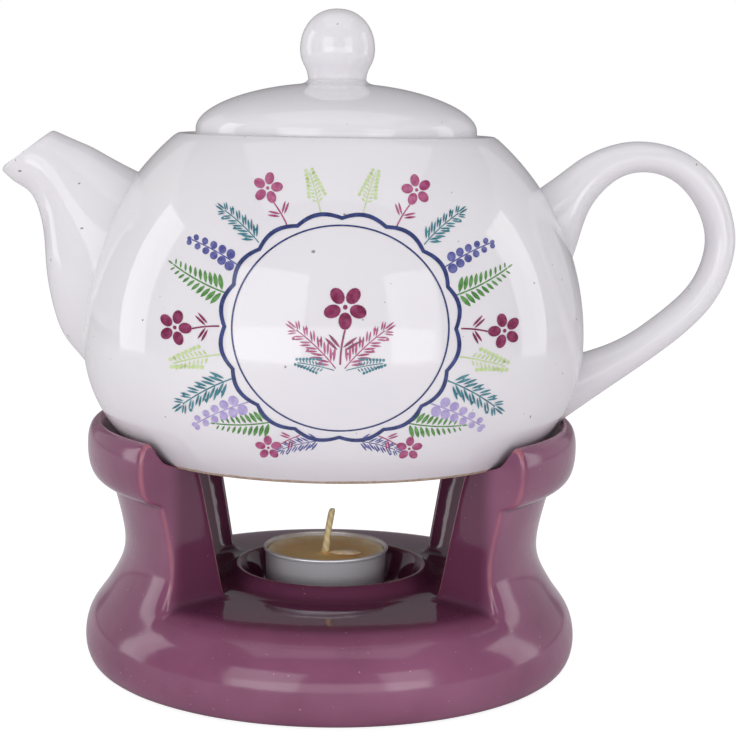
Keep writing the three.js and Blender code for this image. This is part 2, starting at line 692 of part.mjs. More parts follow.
function tealightWax() {
  const rise = waxTop - cupFloor;
  const slope = CUP_TAPER / (CUP_HEIGHT - CUP_BEAD);
  const cupInside = (height) => CUP_RADIUS - CUP_BEAD - CUP_TAPER - CUP_WALL + slope * (height - cupFloor);
  const edge = cupInside(cupFloor + rise) - SEAT_GAP;
  const foot = cupInside(waxFoot) - SEAT_GAP;
  const bore = WICK_RADIUS + SEAT_GAP;
  const outline = [
    [WICK_FOOT_RADIUS + SEAT_GAP, waxFoot],
    [foot - CUP_FOOT_ROUND, waxFoot],
    [foot, waxFoot + CUP_FOOT_ROUND],
    [edge, waxTop],
    [edge * 0.94, waxTop - WAX_DIP * 0.4],
    [edge * 0.5, waxTop - WAX_DIP * 0.8],
    [bore, waxTop - WAX_DIP],
    [bore, collarTop + SEAT_GAP],
    [collarRadius + SEAT_GAP, collarTop + SEAT_GAP],
    [collarRadius + SEAT_GAP, plateTop + SEAT_GAP],
    [WICK_FOOT_RADIUS + SEAT_GAP, plateTop + SEAT_GAP],
    [WICK_FOOT_RADIUS + SEAT_GAP, waxFoot],
  ];
  return toMesh("tealight_wax", revolve(outline, SMALL_TURN_STEPS), wax);
}

function wickSustainer() {
  const bore = WICK_RADIUS + SEAT_GAP;
  const outline = [
    [0, waxFoot],
    [WICK_FOOT_RADIUS, waxFoot],
    [WICK_FOOT_RADIUS, plateTop],
    [collarRadius, plateTop],
    [collarRadius, collarTop],
    [bore, collarTop],
    [bore, plateTop],
    [0, plateTop],
  ];
  return toMesh("wick_sustainer", revolve(outline, SMALL_TURN_STEPS), tinPlate);
}

function wick() {
  const foot = plateTop + SEAT_GAP;
  const top = waxTop + WICK_ABOVE_WAX;
  const route = new THREE.CatmullRomCurve3([
    new THREE.Vector3(0, 0, foot),
    new THREE.Vector3(0, 0, (foot + waxTop) / 2),
    new THREE.Vector3(0, 0, waxTop + WICK_RADIUS),
    new THREE.Vector3(WICK_LEAN * 0.35, 0, (waxTop + top) / 2),
    new THREE.Vector3(WICK_LEAN, 0, top),
  ]);
  const section = new THREE.Shape();
  section.absarc(0, 0, WICK_RADIUS, 0, 2 * Math.PI);
  const geometry = new THREE.ExtrudeGeometry(section, {
    steps: CURVE_STEPS,
    curveSegments: SMALL_CURVE_STEPS,
    extrudePath: route,
  });
  return toMesh("tealight_wick", toSolid(geometry), cotton);
}

function tealight() {
  const group = new THREE.Group();
  group.add(tealightCup(), tealightWax(), wick(), wickSustainer());
  group.position.x = TEALIGHT_SHIFT;
  return group;
}

// The spout stands on the far side from the handle, so its half of the pot is turned round.
function pot() {
  const group = new THREE.Group();
  const keepOut = potKeepOut();
  const spoutMesh = spout(keepOut);
  spoutMesh.rotation.z = Math.PI;
  group.add(potBody(), spoutMesh, handle(keepOut));
  return group;
}

function wholeObject() {
  const object = new THREE.Group();
  object.add(warmer(), pot(), lid(), lidKnob(), tealight());
  const box = new THREE.Box3().setFromObject(object);
  object.position.x = -(box.min.x + box.max.x) / 2;
  return object;
}

export default wholeObject();
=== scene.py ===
# %% [markdown]
# # A glazed teapot on its tea light warmer
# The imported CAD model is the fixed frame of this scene, and every piece here has its place in it. The
# pieces below are modelled again with finer, rounder surfaces, because a glaze shows every facet. Each
# one then stands in for its CAD node, and a few small ones are added on top.

# %% Load the frame
import math
import bmesh
import bpy
import numpy as np
from mathutils import Matrix, Quaternion, Vector


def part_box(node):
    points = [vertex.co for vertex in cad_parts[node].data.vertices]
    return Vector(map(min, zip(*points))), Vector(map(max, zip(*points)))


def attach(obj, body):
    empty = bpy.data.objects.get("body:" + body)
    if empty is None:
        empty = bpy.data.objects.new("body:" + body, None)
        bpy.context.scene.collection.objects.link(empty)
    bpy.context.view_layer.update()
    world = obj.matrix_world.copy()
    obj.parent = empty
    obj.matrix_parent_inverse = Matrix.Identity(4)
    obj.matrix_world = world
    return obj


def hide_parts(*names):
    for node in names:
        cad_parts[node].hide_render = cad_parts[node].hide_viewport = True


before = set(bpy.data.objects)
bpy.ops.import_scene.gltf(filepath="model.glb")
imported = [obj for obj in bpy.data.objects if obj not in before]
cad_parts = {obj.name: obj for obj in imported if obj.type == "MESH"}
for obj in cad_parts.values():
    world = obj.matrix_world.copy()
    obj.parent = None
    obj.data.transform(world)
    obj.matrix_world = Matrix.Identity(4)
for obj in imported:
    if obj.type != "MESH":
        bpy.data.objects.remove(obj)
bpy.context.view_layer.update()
MM = 0.001
knob_low, knob_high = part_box("lid_knob")
AXIS_X = (knob_low[0] + knob_high[0]) / 2  # the pot, lid and warmer share this upright axis

# %% [markdown]
# The camera looks slightly down on the object from the front, from a little over half a metre, through a
# long lens, so that the rings of the object show as flat ellipses. It is turned a little to the handle's
# side and rolled by less than a degree.

# %% Camera
CAMERA_PLACE = Vector((AXIS_X - 0.6 * MM, -560 * MM, 173.2 * MM))
CAMERA_YAW, CAMERA_DIP, CAMERA_ROLL = (math.radians(angle) for angle in (1.15, 8.4, 0.9))
SENSOR_WIDTH, FOCAL_LENGTH = 36, 89.9  # mm
bpy.ops.object.camera_add(location=CAMERA_PLACE)
camera = bpy.context.object
ahead = Vector((math.sin(CAMERA_YAW) * math.cos(CAMERA_DIP),
                math.cos(CAMERA_YAW) * math.cos(CAMERA_DIP), -math.sin(CAMERA_DIP)))
unrolled = ahead.to_track_quat("-Z", "Y")
camera.rotation_mode = "QUATERNION"
camera.rotation_quaternion = unrolled @ Quaternion((0, 0, 1), CAMERA_ROLL)
camera.data.sensor_width = SENSOR_WIDTH
camera.data.lens = FOCAL_LENGTH
camera.data.clip_start = 10 * MM
bpy.context.scene.camera = camera
print("camera", [round(value, 3) for value in camera.location])

# %% [markdown]
# Most of a teapot is thrown or jiggered, so it is round about one axis. By hand, such a piece starts as a
# ring that is extruded and scaled again and again along an outline, like clay that is drawn up on a
# wheel. The outlines are in millimetres, as radius and height. Their curved stretches come from three
# helpers: one for a Bezier curve, which is how the profile of a pot is drawn, one for a part of an
# ellipse and one for a small rounding. An outline with many steps needs no subdivision, so crisp places
# such as the foot stay crisp.

# %% Outlines
def curve(start, pull_start, pull_end, end, steps):
    """Points on a Bezier curve, without its first point."""
    points = []
    for step in range(1, steps + 1):
        t = step / steps
        shares = ((1 - t) ** 3, 3 * t * (1 - t) ** 2, 3 * t * t * (1 - t), t ** 3)
        points.append(tuple(
            sum(share * point[axis] for share, point in zip(shares, (start, pull_start, pull_end, end)))
            for axis in (0, 1)))
    return points


def arc(level, across, up, first, last, steps):
    """Points on an ellipse about the axis, without the first: angles in degrees above its middle level."""
    points = []
    for step in range(1, steps + 1):
        angle = math.radians(first + (last - first) * step / steps)
        points.append((across * math.cos(angle), level + up * math.sin(angle)))
    return points


def rounded(corner, radius, first, last, steps=5):
    """Points on a small arc about a corner's centre, angles in degrees from outwards to upwards."""
    points = []
    for step in range(steps + 1):
        angle = math.radians(first + (last - first) * step / steps)
        points.append((corner[0] + radius * math.cos(angle), corner[1] + radius * math.sin(angle)))
    return points


print("a quarter ellipse in 3 steps", arc(0, 2, 1, 0, 90, 3))

# %% [markdown]
# An operator acts on all that is selected, so everything is deselected before a piece is added or taken
# up again. A new ring has its place in its mesh, and its object stays at the origin.

# %% Selecting, and adding a ring
def deselect():
    """Leaves edit mode and selects nothing."""
    if bpy.context.object and bpy.context.object.mode != "OBJECT":
        bpy.ops.object.mode_set(mode="OBJECT")
    bpy.ops.object.select_all(action="DESELECT")


def take(piece):
    """Makes the piece the only selected and active one."""
    deselect()
    bpy.context.view_layer.objects.active = piece
    piece.select_set(True)


def add_ring(name, sides, radius, place, turn=(0, 0, 0)):
    """A ring as a new object in edit mode, with its place in its mesh."""
    deselect()
    bpy.ops.mesh.primitive_circle_add(vertices=sides, radius=radius, location=place, rotation=turn)
    piece = bpy.context.object
    piece.name = piece.data.name = name
    bpy.ops.object.transform_apply(location=True, rotation=True, scale=True)
    bpy.ops.object.mode_set(mode="EDIT")
    bpy.ops.mesh.select_all(action="SELECT")
    return piece


print("selected so far", [item.name for item in bpy.context.selected_objects])


# %% Growing a round piece from a ring
def draw_up(outline):
    """Extrudes the selected ring through the rest of an outline."""
    for (radius, height), (next_radius, next_height) in zip(outline, outline[1:]):
        rise = (0, 0, (next_height - height) * MM)
        bpy.ops.mesh.extrude_region_move(TRANSFORM_OT_translate={"value": rise})
        share = next_radius / radius
        bpy.ops.transform.resize(
            value=(share, share, 1), center_override=(AXIS_X, 0, next_height * MM))


def close_up():
    """Fills the open ends with one face each and points all faces outwards."""
    bpy.ops.mesh.select_all(action="DESELECT")
    bpy.ops.mesh.select_non_manifold()
    bpy.ops.mesh.fill_holes(sides=0)
    bpy.ops.mesh.select_all(action="SELECT")
    bpy.ops.mesh.normals_make_consistent(inside=False)


def grow(name, outline, sides):
    """A round piece from an outline, with corners straight out along the X axis."""
    radius, height = outline[0]
    piece = add_ring(name, sides, radius * MM, (AXIS_X, 0, height * MM), turn=(0, 0, math.pi / 2))
    draw_up(outline)
    close_up()
    bpy.ops.object.mode_set(mode="OBJECT")
    return piece


# %% [markdown]
# Modifiers finish a piece. Subdivision rounds it, but it also draws a ring inwards: each corner goes about
# a third of the way towards the middle between its two neighbours. So a ring is made larger by what it
# will lose. A boolean cuts a hole or trims an end.

# %% Subdividing, cutting and finishing
def kept_share(*neighbour_angles):
    """What subdivision leaves of a ring's radius, from the angles to a corner's two neighbours."""
    return (4 + sum(math.cos(angle) for angle in neighbour_angles)) / 6


def subdivide(piece, levels):
    """Rounds the piece, and keeps the result as its mesh."""
    take(piece)
    bpy.ops.object.modifier_add(type="SUBSURF")
    modifier = piece.modifiers[-1]
    modifier.levels = modifier.render_levels = levels
    bpy.ops.object.modifier_apply(modifier=modifier.name)


def cut_away(piece, cutter):
    """Takes the cutter's space out of the piece."""
    take(piece)
    bpy.ops.object.modifier_add(type="BOOLEAN")
    modifier = piece.modifiers[-1]
    modifier.operation = "DIFFERENCE"
    modifier.solver = "EXACT"
    modifier.object = cutter
    bpy.ops.object.modifier_apply(modifier=modifier.name)


def finish_piece(piece, body, *nodes, smooth=35):
    """Smooth shading, and the piece's body and the CAD nodes that it stands for."""
    take(piece)
    bpy.ops.object.shade_smooth_by_angle(angle=math.radians(smooth))
    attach(piece, body)
    if nodes:
        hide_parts(*nodes)
    faces = sum(len(face.vertices) - 2 for face in piece.data.polygons)
    low = [round(min(v.co[i] for v in piece.data.vertices) / MM, 1) for i in range(3)]
    high = [round(max(v.co[i] for v in piece.data.vertices) / MM, 1) for i in range(3)]
    print(piece.name, "triangles", faces, "from", low, "to", high, "mm")


print("a ring of 12 sides keeps", round(kept_share(math.tau / 12, math.tau / 12), 3), "of its radius")

# %% [markdown]
# The warmer is one slip-cast piece: a base like a thick round dish with a flat deck, and two curved walls
# that flare out of its shoulder and carry the pot. The two windows between the walls were cut out of a
# full ring while the clay was soft, so the walls end in flat cut faces with rounded edges. Here the base
# grows as a ring of 48 sides. Its corners are then turned about the axis until they stand close together
# at the cut faces, because a subdivision surface rounds an edge as tightly as its neighbours stand.

# %% Warmer: base
WARMER_SIDES = 48
CUT_ANGLE = 43.9  # degrees either side of the X axis, where the walls end
CORNER_ANGLES = (0, 8.5, 17, 25.5, 34, 41.6, CUT_ANGLE, 47.5, 53, 62, 71.5, 81, 90)
DECK = 25.2
# rings that the walls grow from, from the outside in
wall_feet = [(67.4, 23.5), (62.6, 24.9), (55.5, DECK), (44.4, DECK), (43.2, DECK)]
# from the middle of the underside, over the foot ring, the shoulder and the deck, into the well
base_outline = [
    (26, 12.4), (28, 12.6), (33.5, 18.6), (37, 19.2), (52, 19.2), (58, 17.6), (61.6, 14.2), (63, 9.2),
    (63, 1.4), (64, 0.1), (67, 0), (71.4, 0), (74.4, 1.6), (76, 6.3), (75.8, 11.9), (74.2, 16.9),
    (70.6, 21.2),
    *wall_feet,
    (38, DECK), (35, 25.35), (32.9, 26.2), (31, 28.2), (29.4, 29.3), (28, 28.9), (26.9, 26.6), (24.6, 20.2),
    (23.3, 18.7), (21.5, 18.4),
]
warmer = grow("Warmer", base_outline, WARMER_SIDES)
print("warmer base", len(base_outline), "rings of", WARMER_SIDES)


# %% [markdown]
# Corners, edges and faces are chosen by where they are: by their distance from the axis, their height
# and their angle from the X axis. The warmer is the same to the left and right and to the front and
# back, so the angle is folded into one quarter.

# %% Warmer: choosing by place
NEAR_RADIUS, NEAR_HEIGHT, NEAR_ANGLE = 0.7, 0.05, 0.4  # mm, mm, degrees


def polar(point):
    """Radius and height in mm, degrees from the X axis, 0 to 90, and the pair of quadrants, 1 or -1."""
    x, y = (point.x - AXIS_X) / MM, point.y / MM
    quadrant = 1 if x * y > 0 else -1
    return math.hypot(x, y), point.z / MM, math.degrees(math.atan2(abs(y), abs(x))), quadrant


def choose(piece, kind, test):
    """Selects the faces, edges or vertices, as kind says, whose points pass the test."""
    modes = {"verts": "VERT", "edges": "EDGE", "faces": "FACE"}
    bpy.ops.mesh.select_mode(type=modes[kind])
    bpy.ops.mesh.select_all(action="DESELECT")
    mesh = bmesh.from_edit_mesh(piece.data)
    chosen = 0
    for element in getattr(mesh, kind):
        points = [element.co] if kind == "verts" else [v.co for v in element.verts]
        if test(*[polar(point) for point in points]):
            element.select_set(True)
            chosen += 1
    mesh.select_flush_mode()
    bmesh.update_edit_mesh(piece.data)
    return chosen


def on_ring(point, ring, angles=None):
    """Whether a point lies on a ring of a radius and height, at one of the angles if some are given."""
    radius, height, angle, _ = point
    near = abs(radius - ring[0]) < NEAR_RADIUS and abs(height - ring[1]) < NEAR_HEIGHT
    return near and (angles is None or any(abs(angle - other) < NEAR_ANGLE for other in angles))


def move_ring(old, new):
    """Scales and lifts the selected corners from one radius and height to another."""
    share = new[0] / old[0]
    bpy.ops.transform.resize(value=(share, share, 1), center_override=(AXIS_X, 0, old[1] * MM))
    bpy.ops.transform.translate(value=(0, 0, (new[1] - old[1]) * MM))


print("first corner of the base", [round(value, 1) for value in polar(warmer.data.vertices[0].co)])

# %% [markdown]
# Turning the corners leaves them on the same circle, and the subdivision then pulls each one inwards by
# an amount that depends on how far away its two neighbours are. So each corner is pushed outwards by as
# much as it will be pulled in. The operator turns the other way round in a script, which is why the
# angles carry a minus sign.

# %% Warmer: corners to the cut faces
take(warmer)
bpy.ops.object.mode_set(mode="EDIT")
even_step = 360 / WARMER_SIDES
for number, angle in enumerate(CORNER_ANGLES):
    before = CORNER_ANGLES[number - 1] if number else -CORNER_ANGLES[1]
    after = CORNER_ANGLES[number + 1] if number < len(CORNER_ANGLES) - 1 else 180 - CORNER_ANGLES[-2]
    push = 1 / kept_share(math.radians(angle - before), math.radians(after - angle))
    even = number * even_step
    for quadrant in (1, -1):
        on_an_axis = angle in (0, 90)
        if on_an_axis and quadrant == -1:
            continue
        choose(warmer, "verts", lambda p: abs(p[2] - even) < NEAR_ANGLE
               and (on_an_axis or p[3] == quadrant))
        if not on_an_axis:
            bpy.ops.transform.rotate(value=-math.radians(angle - even) * quadrant, orient_axis="Z",
                                     center_override=(AXIS_X, 0, 0))
        bpy.ops.transform.resize(value=(push, push, 1), center_override=(AXIS_X, 0, 0))
bpy.ops.object.mode_set(mode="OBJECT")
angles = sorted({round(polar(v.co)[2], 1) for v in warmer.data.vertices})
print("corner angles now", angles)

# %% [markdown]
# Each wall grows from four rows of faces on the deck and the shoulder, which are extruded upwards row by
# row. A row is five chains of corners across the wall: the outer face, a chain just inside it that holds
# the rounded edge, the middle, and the same again at the inner face. Every chain is scaled about the axis
# and moved to its height. On top, the rows turn over: outside they make the thick band that stands out by
# a step, and inside the narrow ledge and the cradle for the pot.

# %% Warmer: rows of the walls
# outer radius and height, inner radius and height
wall_rows = [
    ((65.5, 29.6), (44.3, 29.0)), ((63.7, 34.6), (45.4, 33.8)), ((63.6, 40.6), (46.9, 40)),
    ((65.2, 48), (48.6, 47)), ((66.8, 54.2), (50.2, 53.4)), ((67.6, 56.6), (51, 56.8)),
    ((70.2, 57.2), (51.7, 59.8)), ((73.2, 59.0), (52.4, 62.6)), ((74.7, 62.8), (52.9, 64.9)),
    ((75, 67.6), (54.4, 66.4)), ((74.8, 71.4), (58.8, 66.6)), ((73.8, 74.2), (64.4, 67.0)),
    ((72.2, 75.2), (68.6, 71.2)), ((71.3, 75.25), (70.2, 74.2)),
]
OUTER_ROUNDING, INNER_ROUNDING, LEDGE_ROUNDING = 2.2, 1.3, 2.2
LEDGE_ROWS = range(7, 12)  # rows whose inner end is the ledge or the cradle
MOST_ROUNDING = 0.3  # of a row's length, where the row is short


def chain_points(outer, inner, row):
    """The five points across a wall."""
    length = math.dist(outer, inner)
    inner_rounding = LEDGE_ROUNDING if row in LEDGE_ROWS else INNER_ROUNDING
    shares = (0, min(OUTER_ROUNDING / length, MOST_ROUNDING), 0.5,
              1 - min(inner_rounding / length, MOST_ROUNDING), 1)
    return [tuple(a + (b - a) * share for a, b in zip(outer, inner)) for share in shares]


def select_only(mesh, indices):
    """Selects the corners with these numbers and no others."""
    for vertex in mesh.verts:
        vertex.select_set(False)
    for index in indices:
        mesh.verts[index].select_set(True)
    mesh.select_flush_mode()


def move_chain(piece, indices, old, new):
    """Moves the chain of corners from its old radius and height to the new ones."""
    mesh = bmesh.from_edit_mesh(piece.data)
    mesh.verts.ensure_lookup_table()
    select_only(mesh, indices)
    bmesh.update_edit_mesh(piece.data)
    move_ring(old, new)


print("wall rows", len(wall_rows), "from", wall_rows[0][0], "to", wall_rows[-1][0])


# %% Warmer: walls
CHAINS = 5
FOOT_LOW = 23.3  # height in mm just below the outermost ring that the walls grow from
FOOT_INNER, FOOT_OUTER = 43, 68.2  # distances from the axis, just past the rings


def under_wall(*points):
    """Whether a face of the base is one of those that the walls grow from."""
    return all(angle < CUT_ANGLE + NEAR_ANGLE and height > FOOT_LOW and FOOT_INNER < radius < FOOT_OUTER
               for radius, height, angle, _ in points)


take(warmer)
bpy.ops.object.mode_set(mode="EDIT")
count = choose(warmer, "faces", under_wall)
print("faces under the walls", count)
rows_before = wall_feet
for row, (outer, inner) in enumerate(wall_rows):
    bpy.ops.mesh.select_mode(type="FACE")
    bpy.ops.mesh.extrude_region_move(TRANSFORM_OT_translate={"value": (0, 0, 0)})
    mesh = bmesh.from_edit_mesh(warmer.data)
    columns = {}
    for vertex in mesh.verts:
        if vertex.select:
            radius, height, angle, quadrant = polar(vertex.co)
            key = (round(angle, 1), quadrant if angle > NEAR_ANGLE else 0, vertex.co.x > AXIS_X)
            columns.setdefault(key, []).append((radius, vertex.index))
    chains = [[] for _ in range(CHAINS)]
    for column in columns.values():
        assert len(column) == CHAINS, column
        for chain, (_, index) in zip(chains, sorted(column, reverse=True)):
            chain.append(index)
    targets = chain_points(outer, inner, row)
    bpy.ops.mesh.select_mode(type="VERT")
    for chain, old, new in zip(chains, rows_before, targets):
        move_chain(warmer, chain, old, new)
    mesh = bmesh.from_edit_mesh(warmer.data)
    mesh.verts.ensure_lookup_table()
    select_only(mesh, [index for chain in chains for index in chain])
    bpy.ops.mesh.select_mode(type="FACE")
    rows_before = targets
print("wall rows", len(wall_rows), "columns", len(columns))

# %% [markdown]
# Where a wall stands, its outer side runs down into the shoulder in one soft curve, but at the cut faces
# the edge goes straight down and turns along the deck. So the foot of the flare is lifted along the wall,
# by half near its ends, and left low at the cut faces. The lower edge of the band gets a crease, which
# holds its shadow line.

# %% Warmer: foot of the flare and creases
FLARE_FOOT = (68.2, 25.0)
CUT_FOOT_RADIUS = 64.0
STEP_ROWS = (5, 6)  # of the wall, where the band stands out
STEP_CREASE = 0.5
foot = wall_feet[0]
for angles, amount in ((CORNER_ANGLES[:5], 1), (CORNER_ANGLES[5:6], 0.5)):
    choose(warmer, "verts", lambda p: on_ring(p, foot, angles))
    move_ring(foot, [old + (new - old) * amount for old, new in zip(foot, FLARE_FOOT)])
cut_foot = wall_rows[0][0]
choose(warmer, "verts", lambda p: on_ring(p, cut_foot, [CUT_ANGLE]))
move_ring(cut_foot, (CUT_FOOT_RADIUS, cut_foot[1]))
for row in STEP_ROWS:
    count = choose(warmer, "edges", lambda a, b: on_ring(a, wall_rows[row][0])
                   and on_ring(b, wall_rows[row][0]))
    bpy.ops.transform.edge_crease(value=STEP_CREASE)
    print("creased", count, "edges of the band's lower edge")
bpy.ops.mesh.select_all(action="SELECT")
bpy.ops.mesh.normals_make_consistent(inside=False)
bpy.ops.object.mode_set(mode="OBJECT")
subdivide(warmer, 2)
finish_piece(warmer, "warmer", "warmer", smooth=60)

# %% [markdown]
# The pot's body is thrown, with a full round belly, a narrow flat rim and a step inside it that carries
# the lid. It is hollow like the real one, so the lid can be lifted. Its foot is flat and was wiped clean
# of glaze, which leaves a crisp edge.

# %% Pot body
POT_BOTTOM, POT_TOP = 66.9, 161.7
BELLY_RADIUS, BELLY_LEVEL, BELLY_RISE = 76.2, 100.7, 78.5
ROUND_SIDES = 128
INNER_RADIUS = 71.6  # of the belly
belly_side = [
    *curve((61.5, 67.2), (70.5, 76.03), (BELLY_RADIUS, 85.83), (BELLY_RADIUS, BELLY_LEVEL), 24),
    *arc(BELLY_LEVEL, BELLY_RADIUS, BELLY_RISE, 0, 50.2, 26),
]
inner_side = [
    *arc(BELLY_LEVEL, INNER_RADIUS, 73.9, 42.9, 0, 14),
    *curve((INNER_RADIUS, BELLY_LEVEL), (INNER_RADIUS, 87), (66, 77.5), (57, 71.5), 12),
]
# from the foot over the belly to the rim, down over the lid's seat and along the inside
pot_outline = [
    (30, POT_BOTTOM), (60.6, POT_BOTTOM), (61.2, 66.95), (61.5, 67.2), *belly_side,
    (48.2, 161.3), (47.9, 161.58), (47.4, POT_TOP), (44.4, POT_TOP), (43.7, 161.6), (43.35, 161.3),
    (43.2, 160.7), (43.1, 160.5), (42.6, 160.5), (39.2, 160.5), (38.7, 160.3), (38.5, 159.8), (38.5, 156.6),
    (39.4, 155.6), (52.4, 151.6), *inner_side, (30, 71.5),
]
pot_body = grow("Pot-body", pot_outline, ROUND_SIDES)
print("pot outline", len(pot_outline), "points")

# %% [markdown]
# Spout and handle were made apart and luted on with slip. Each is a row of ovals, every one added at its
# own place, tilt and size, and joined to the last one with bridged faces. Only a few ovals are listed, and
# the ones between them lie on a smooth curve through the same points. The ends inside the pot are cut off
# along the wall, with a round core that is a little smaller than the pot.

# %% Ovals on a smooth curve
def between(ovals, parts):
    """Adds ovals between the given ones, on a Catmull-Rom curve through them."""
    rows = [(*first, *last, *sizes) for first, last, *sizes in ovals]
    rows = [tuple(2 * a - b for a, b in zip(rows[0], rows[1])), *rows,
            tuple(2 * a - b for a, b in zip(rows[-1], rows[-2]))]
    finer = []
    for before, start, end, after in zip(rows, rows[1:], rows[2:], rows[3:]):
        for part in range(parts):
            t = part / parts
            finer.append(tuple(
                0.5 * (2 * s + (e - b) * t + (2 * b - 5 * s + 4 * e - a) * t ** 2
                       + (3 * s - b - 3 * e + a) * t ** 3)
                for b, s, e, a in zip(before, start, end, after)))
    finer.append(rows[-2])
    return [(row[:2], row[2:4], row[4]) for row in finer]


def join_last_rings(piece, sides):
    """Bridges the two rings that were added last."""
    bpy.ops.mesh.select_mode(type="EDGE")
    bpy.ops.mesh.select_all(action="DESELECT")
    mesh = bmesh.from_edit_mesh(piece.data)
    count = len(mesh.verts)
    rings = [set(range(count - 2 * sides, count - sides)), set(range(count - sides, count))]
    for edge in mesh.edges:
        ends = {edge.verts[0].index, edge.verts[1].index}
        if any(ends <= ring for ring in rings):
            edge.select_set(True)
    bmesh.update_edit_mesh(piece.data)
    bpy.ops.mesh.bridge_edge_loops()


def add_tube(name, ovals, sides, side_sign):
    """A tube through ovals, given as two ends and half a width, in mm out from the belly and up from
    its level, on the side of the handle (1) or of the spout (-1)."""
    kept = kept_share(math.tau / sides, math.tau / sides)
    piece = None
    for first, last, half_width in ovals:
        out = BELLY_RADIUS + (first[0] + last[0]) / 2
        up = BELLY_LEVEL + (first[1] + last[1]) / 2
        across, rise = first[0] - last[0], first[1] - last[1]
        tilt = math.atan2(across, rise) * side_sign
        centre = (AXIS_X + side_sign * out * MM, 0, up * MM)
        size = (math.hypot(across, rise) / 2 / kept, half_width / kept, 1)
        is_first = piece is None
        if is_first:
            piece = add_ring(name, sides, MM, (0, 0, 0))
        else:
            bpy.ops.mesh.select_all(action="DESELECT")
            bpy.ops.mesh.primitive_circle_add(vertices=sides, radius=MM)
        bpy.ops.transform.resize(value=size, center_override=(0, 0, 0))
        bpy.ops.transform.rotate(
            value=-math.pi / 2 - tilt, orient_axis="Y", center_override=(0, 0, 0))
        bpy.ops.transform.translate(value=centre)
        if not is_first:
            join_last_rings(piece, sides)
    return piece


print("halfway between two ovals", between([((0, 0), (0, 4), 2), ((9, 0), (9, 6), 3)], 2)[1])

# %% Core that trims them
SINK = 0.35  # mm that the joints reach into the pot's wall
core_side = [(radius - SINK, height) for radius, height in belly_side]
core = grow("Trimming-core", [(30, 67.3), (60, 67.3), *core_side, (40, 160), (20, 160)], ROUND_SIDES)
print("core reaches", round(BELLY_RADIUS - SINK, 2), "mm from the axis")

# %% Spout
# upper end, lower end and half width of each oval, from inside the pot to the lip
spout_ovals = [
    ((-25, 45), (-8, -19), 24), ((-15, 49.5), (0, -8.5), 22), ((-8.5, 52.8), (7, 0.5), 19),
    ((-2.5, 56.1), (10.9, 15.5), 15.5), ((2.6, 58.2), (12, 31), 12.8), ((6.8, 60), (15.2, 41.4), 11.2),
    ((9.2, 60.9), (20.9, 45.5), 10.2), ((10.8, 59.7), (24.9, 49.1), 9),
]
SPOUT_WALL = 3.2
spout = add_tube("Spout", between(spout_ovals, 3), 24, -1)
bpy.ops.mesh.select_all(action="SELECT")
bpy.ops.mesh.normals_make_consistent(inside=False)
bpy.ops.object.mode_set(mode="OBJECT")
bpy.ops.object.modifier_add(type="SOLIDIFY")
wall = spout.modifiers[-1]
wall.thickness = SPOUT_WALL * MM
wall.offset = -1
bpy.ops.object.modifier_apply(modifier=wall.name)
subdivide(spout, 2)
cut_away(spout, core)
finish_piece(spout, "pot", "spout", smooth=60)

# %% Handle
# outer end, inner end and half width of each oval, from its upper joint to its lower one
handle_ovals = [
    ((-20, 41.5), (-6, 17.5), 8.5), ((-8.5, 49.7), (-2.4, 28.5), 8.5), ((-1, 55.5), (1, 40), 7),
    ((8, 59.3), (9, 48.9), 6.6), ((17.5, 60.4), (17.8, 51.2), 6.6), ((29.5, 57.6), (26.5, 48.8), 6.6),
    ((40.7, 48.3), (33.3, 41.9), 6.6), ((46.15, 33), (37.2, 32), 6.6), ((44.4, 20.2), (35.7, 22.5), 6.6),
    ((38.8, 9.4), (31.1, 14.7), 6.6), ((28.9, -0.4), (22.5, 7.1), 6.6), ((17, -9.4), (13.8, 0.8), 6.6),
    ((3.4, -19.1), (4.6, -3.3), 7.5), ((-10, -29), (-6, -6.5), 8.5), ((-21, -37), (-16, -10), 9),
]
handle = add_tube("Handle", between(handle_ovals, 2), 20, 1)
close_up()
bpy.ops.object.mode_set(mode="OBJECT")
subdivide(handle, 2)
cut_away(handle, core)
finish_piece(handle, "pot", "handle", smooth=60)
bpy.data.objects.remove(core)

# %% [markdown]
# Behind the spout the pot's wall is pierced, so that the tea leaves stay in the pot. The holes are
# drilled into the soft clay with a small tube, in rows of two, three and two. Here a row of cylinders
# does it, joined to one cutter first, so that the wall is cut only once.

# %% Strainer holes
STRAINER_RADIUS, STRAINER_PITCH, STRAINER_LEVEL = 2.4, 7.4, BELLY_LEVEL + 23
WALL_OUT = 70  # mm from the axis, in the wall behind the spout
DRILL_LENGTH, DRILL_SIDES = 30, 24
deselect()
drills = []
for row, count in ((-1, 2), (0, 3), (1, 2)):
    for number in range(count):
        across = (number - (count - 1) / 2) * STRAINER_PITCH
        height = STRAINER_LEVEL + row * STRAINER_PITCH * math.sin(math.pi / 3)
        bpy.ops.mesh.primitive_cylinder_add(
            vertices=DRILL_SIDES, radius=STRAINER_RADIUS * MM, depth=DRILL_LENGTH * MM,
            rotation=(0, math.pi / 2, 0), location=(AXIS_X - WALL_OUT * MM, across * MM, height * MM))
        drills.append(bpy.context.object)
deselect()
for drill in drills:
    drill.select_set(True)
bpy.context.view_layer.objects.active = drills[0]
bpy.ops.object.join()
cut_away(pot_body, drills[0])
bpy.data.objects.remove(drills[0])
finish_piece(pot_body, "pot", "pot_body", smooth=50)

# %% [markdown]
# The lid has a low dome, a plain edge that lies in the pot's rim, and a ring-shaped flange below that
# keeps it from falling out when the pot is tipped. A small hole at the back lets air in. The knob is
# a ball on a short neck, with a hollow where it meets the lid.

# %% Lid
LID_SIDES = 96
STEAM_RADIUS, STEAM_OUT, LID_MIDDLE = 1.8, 22, 172
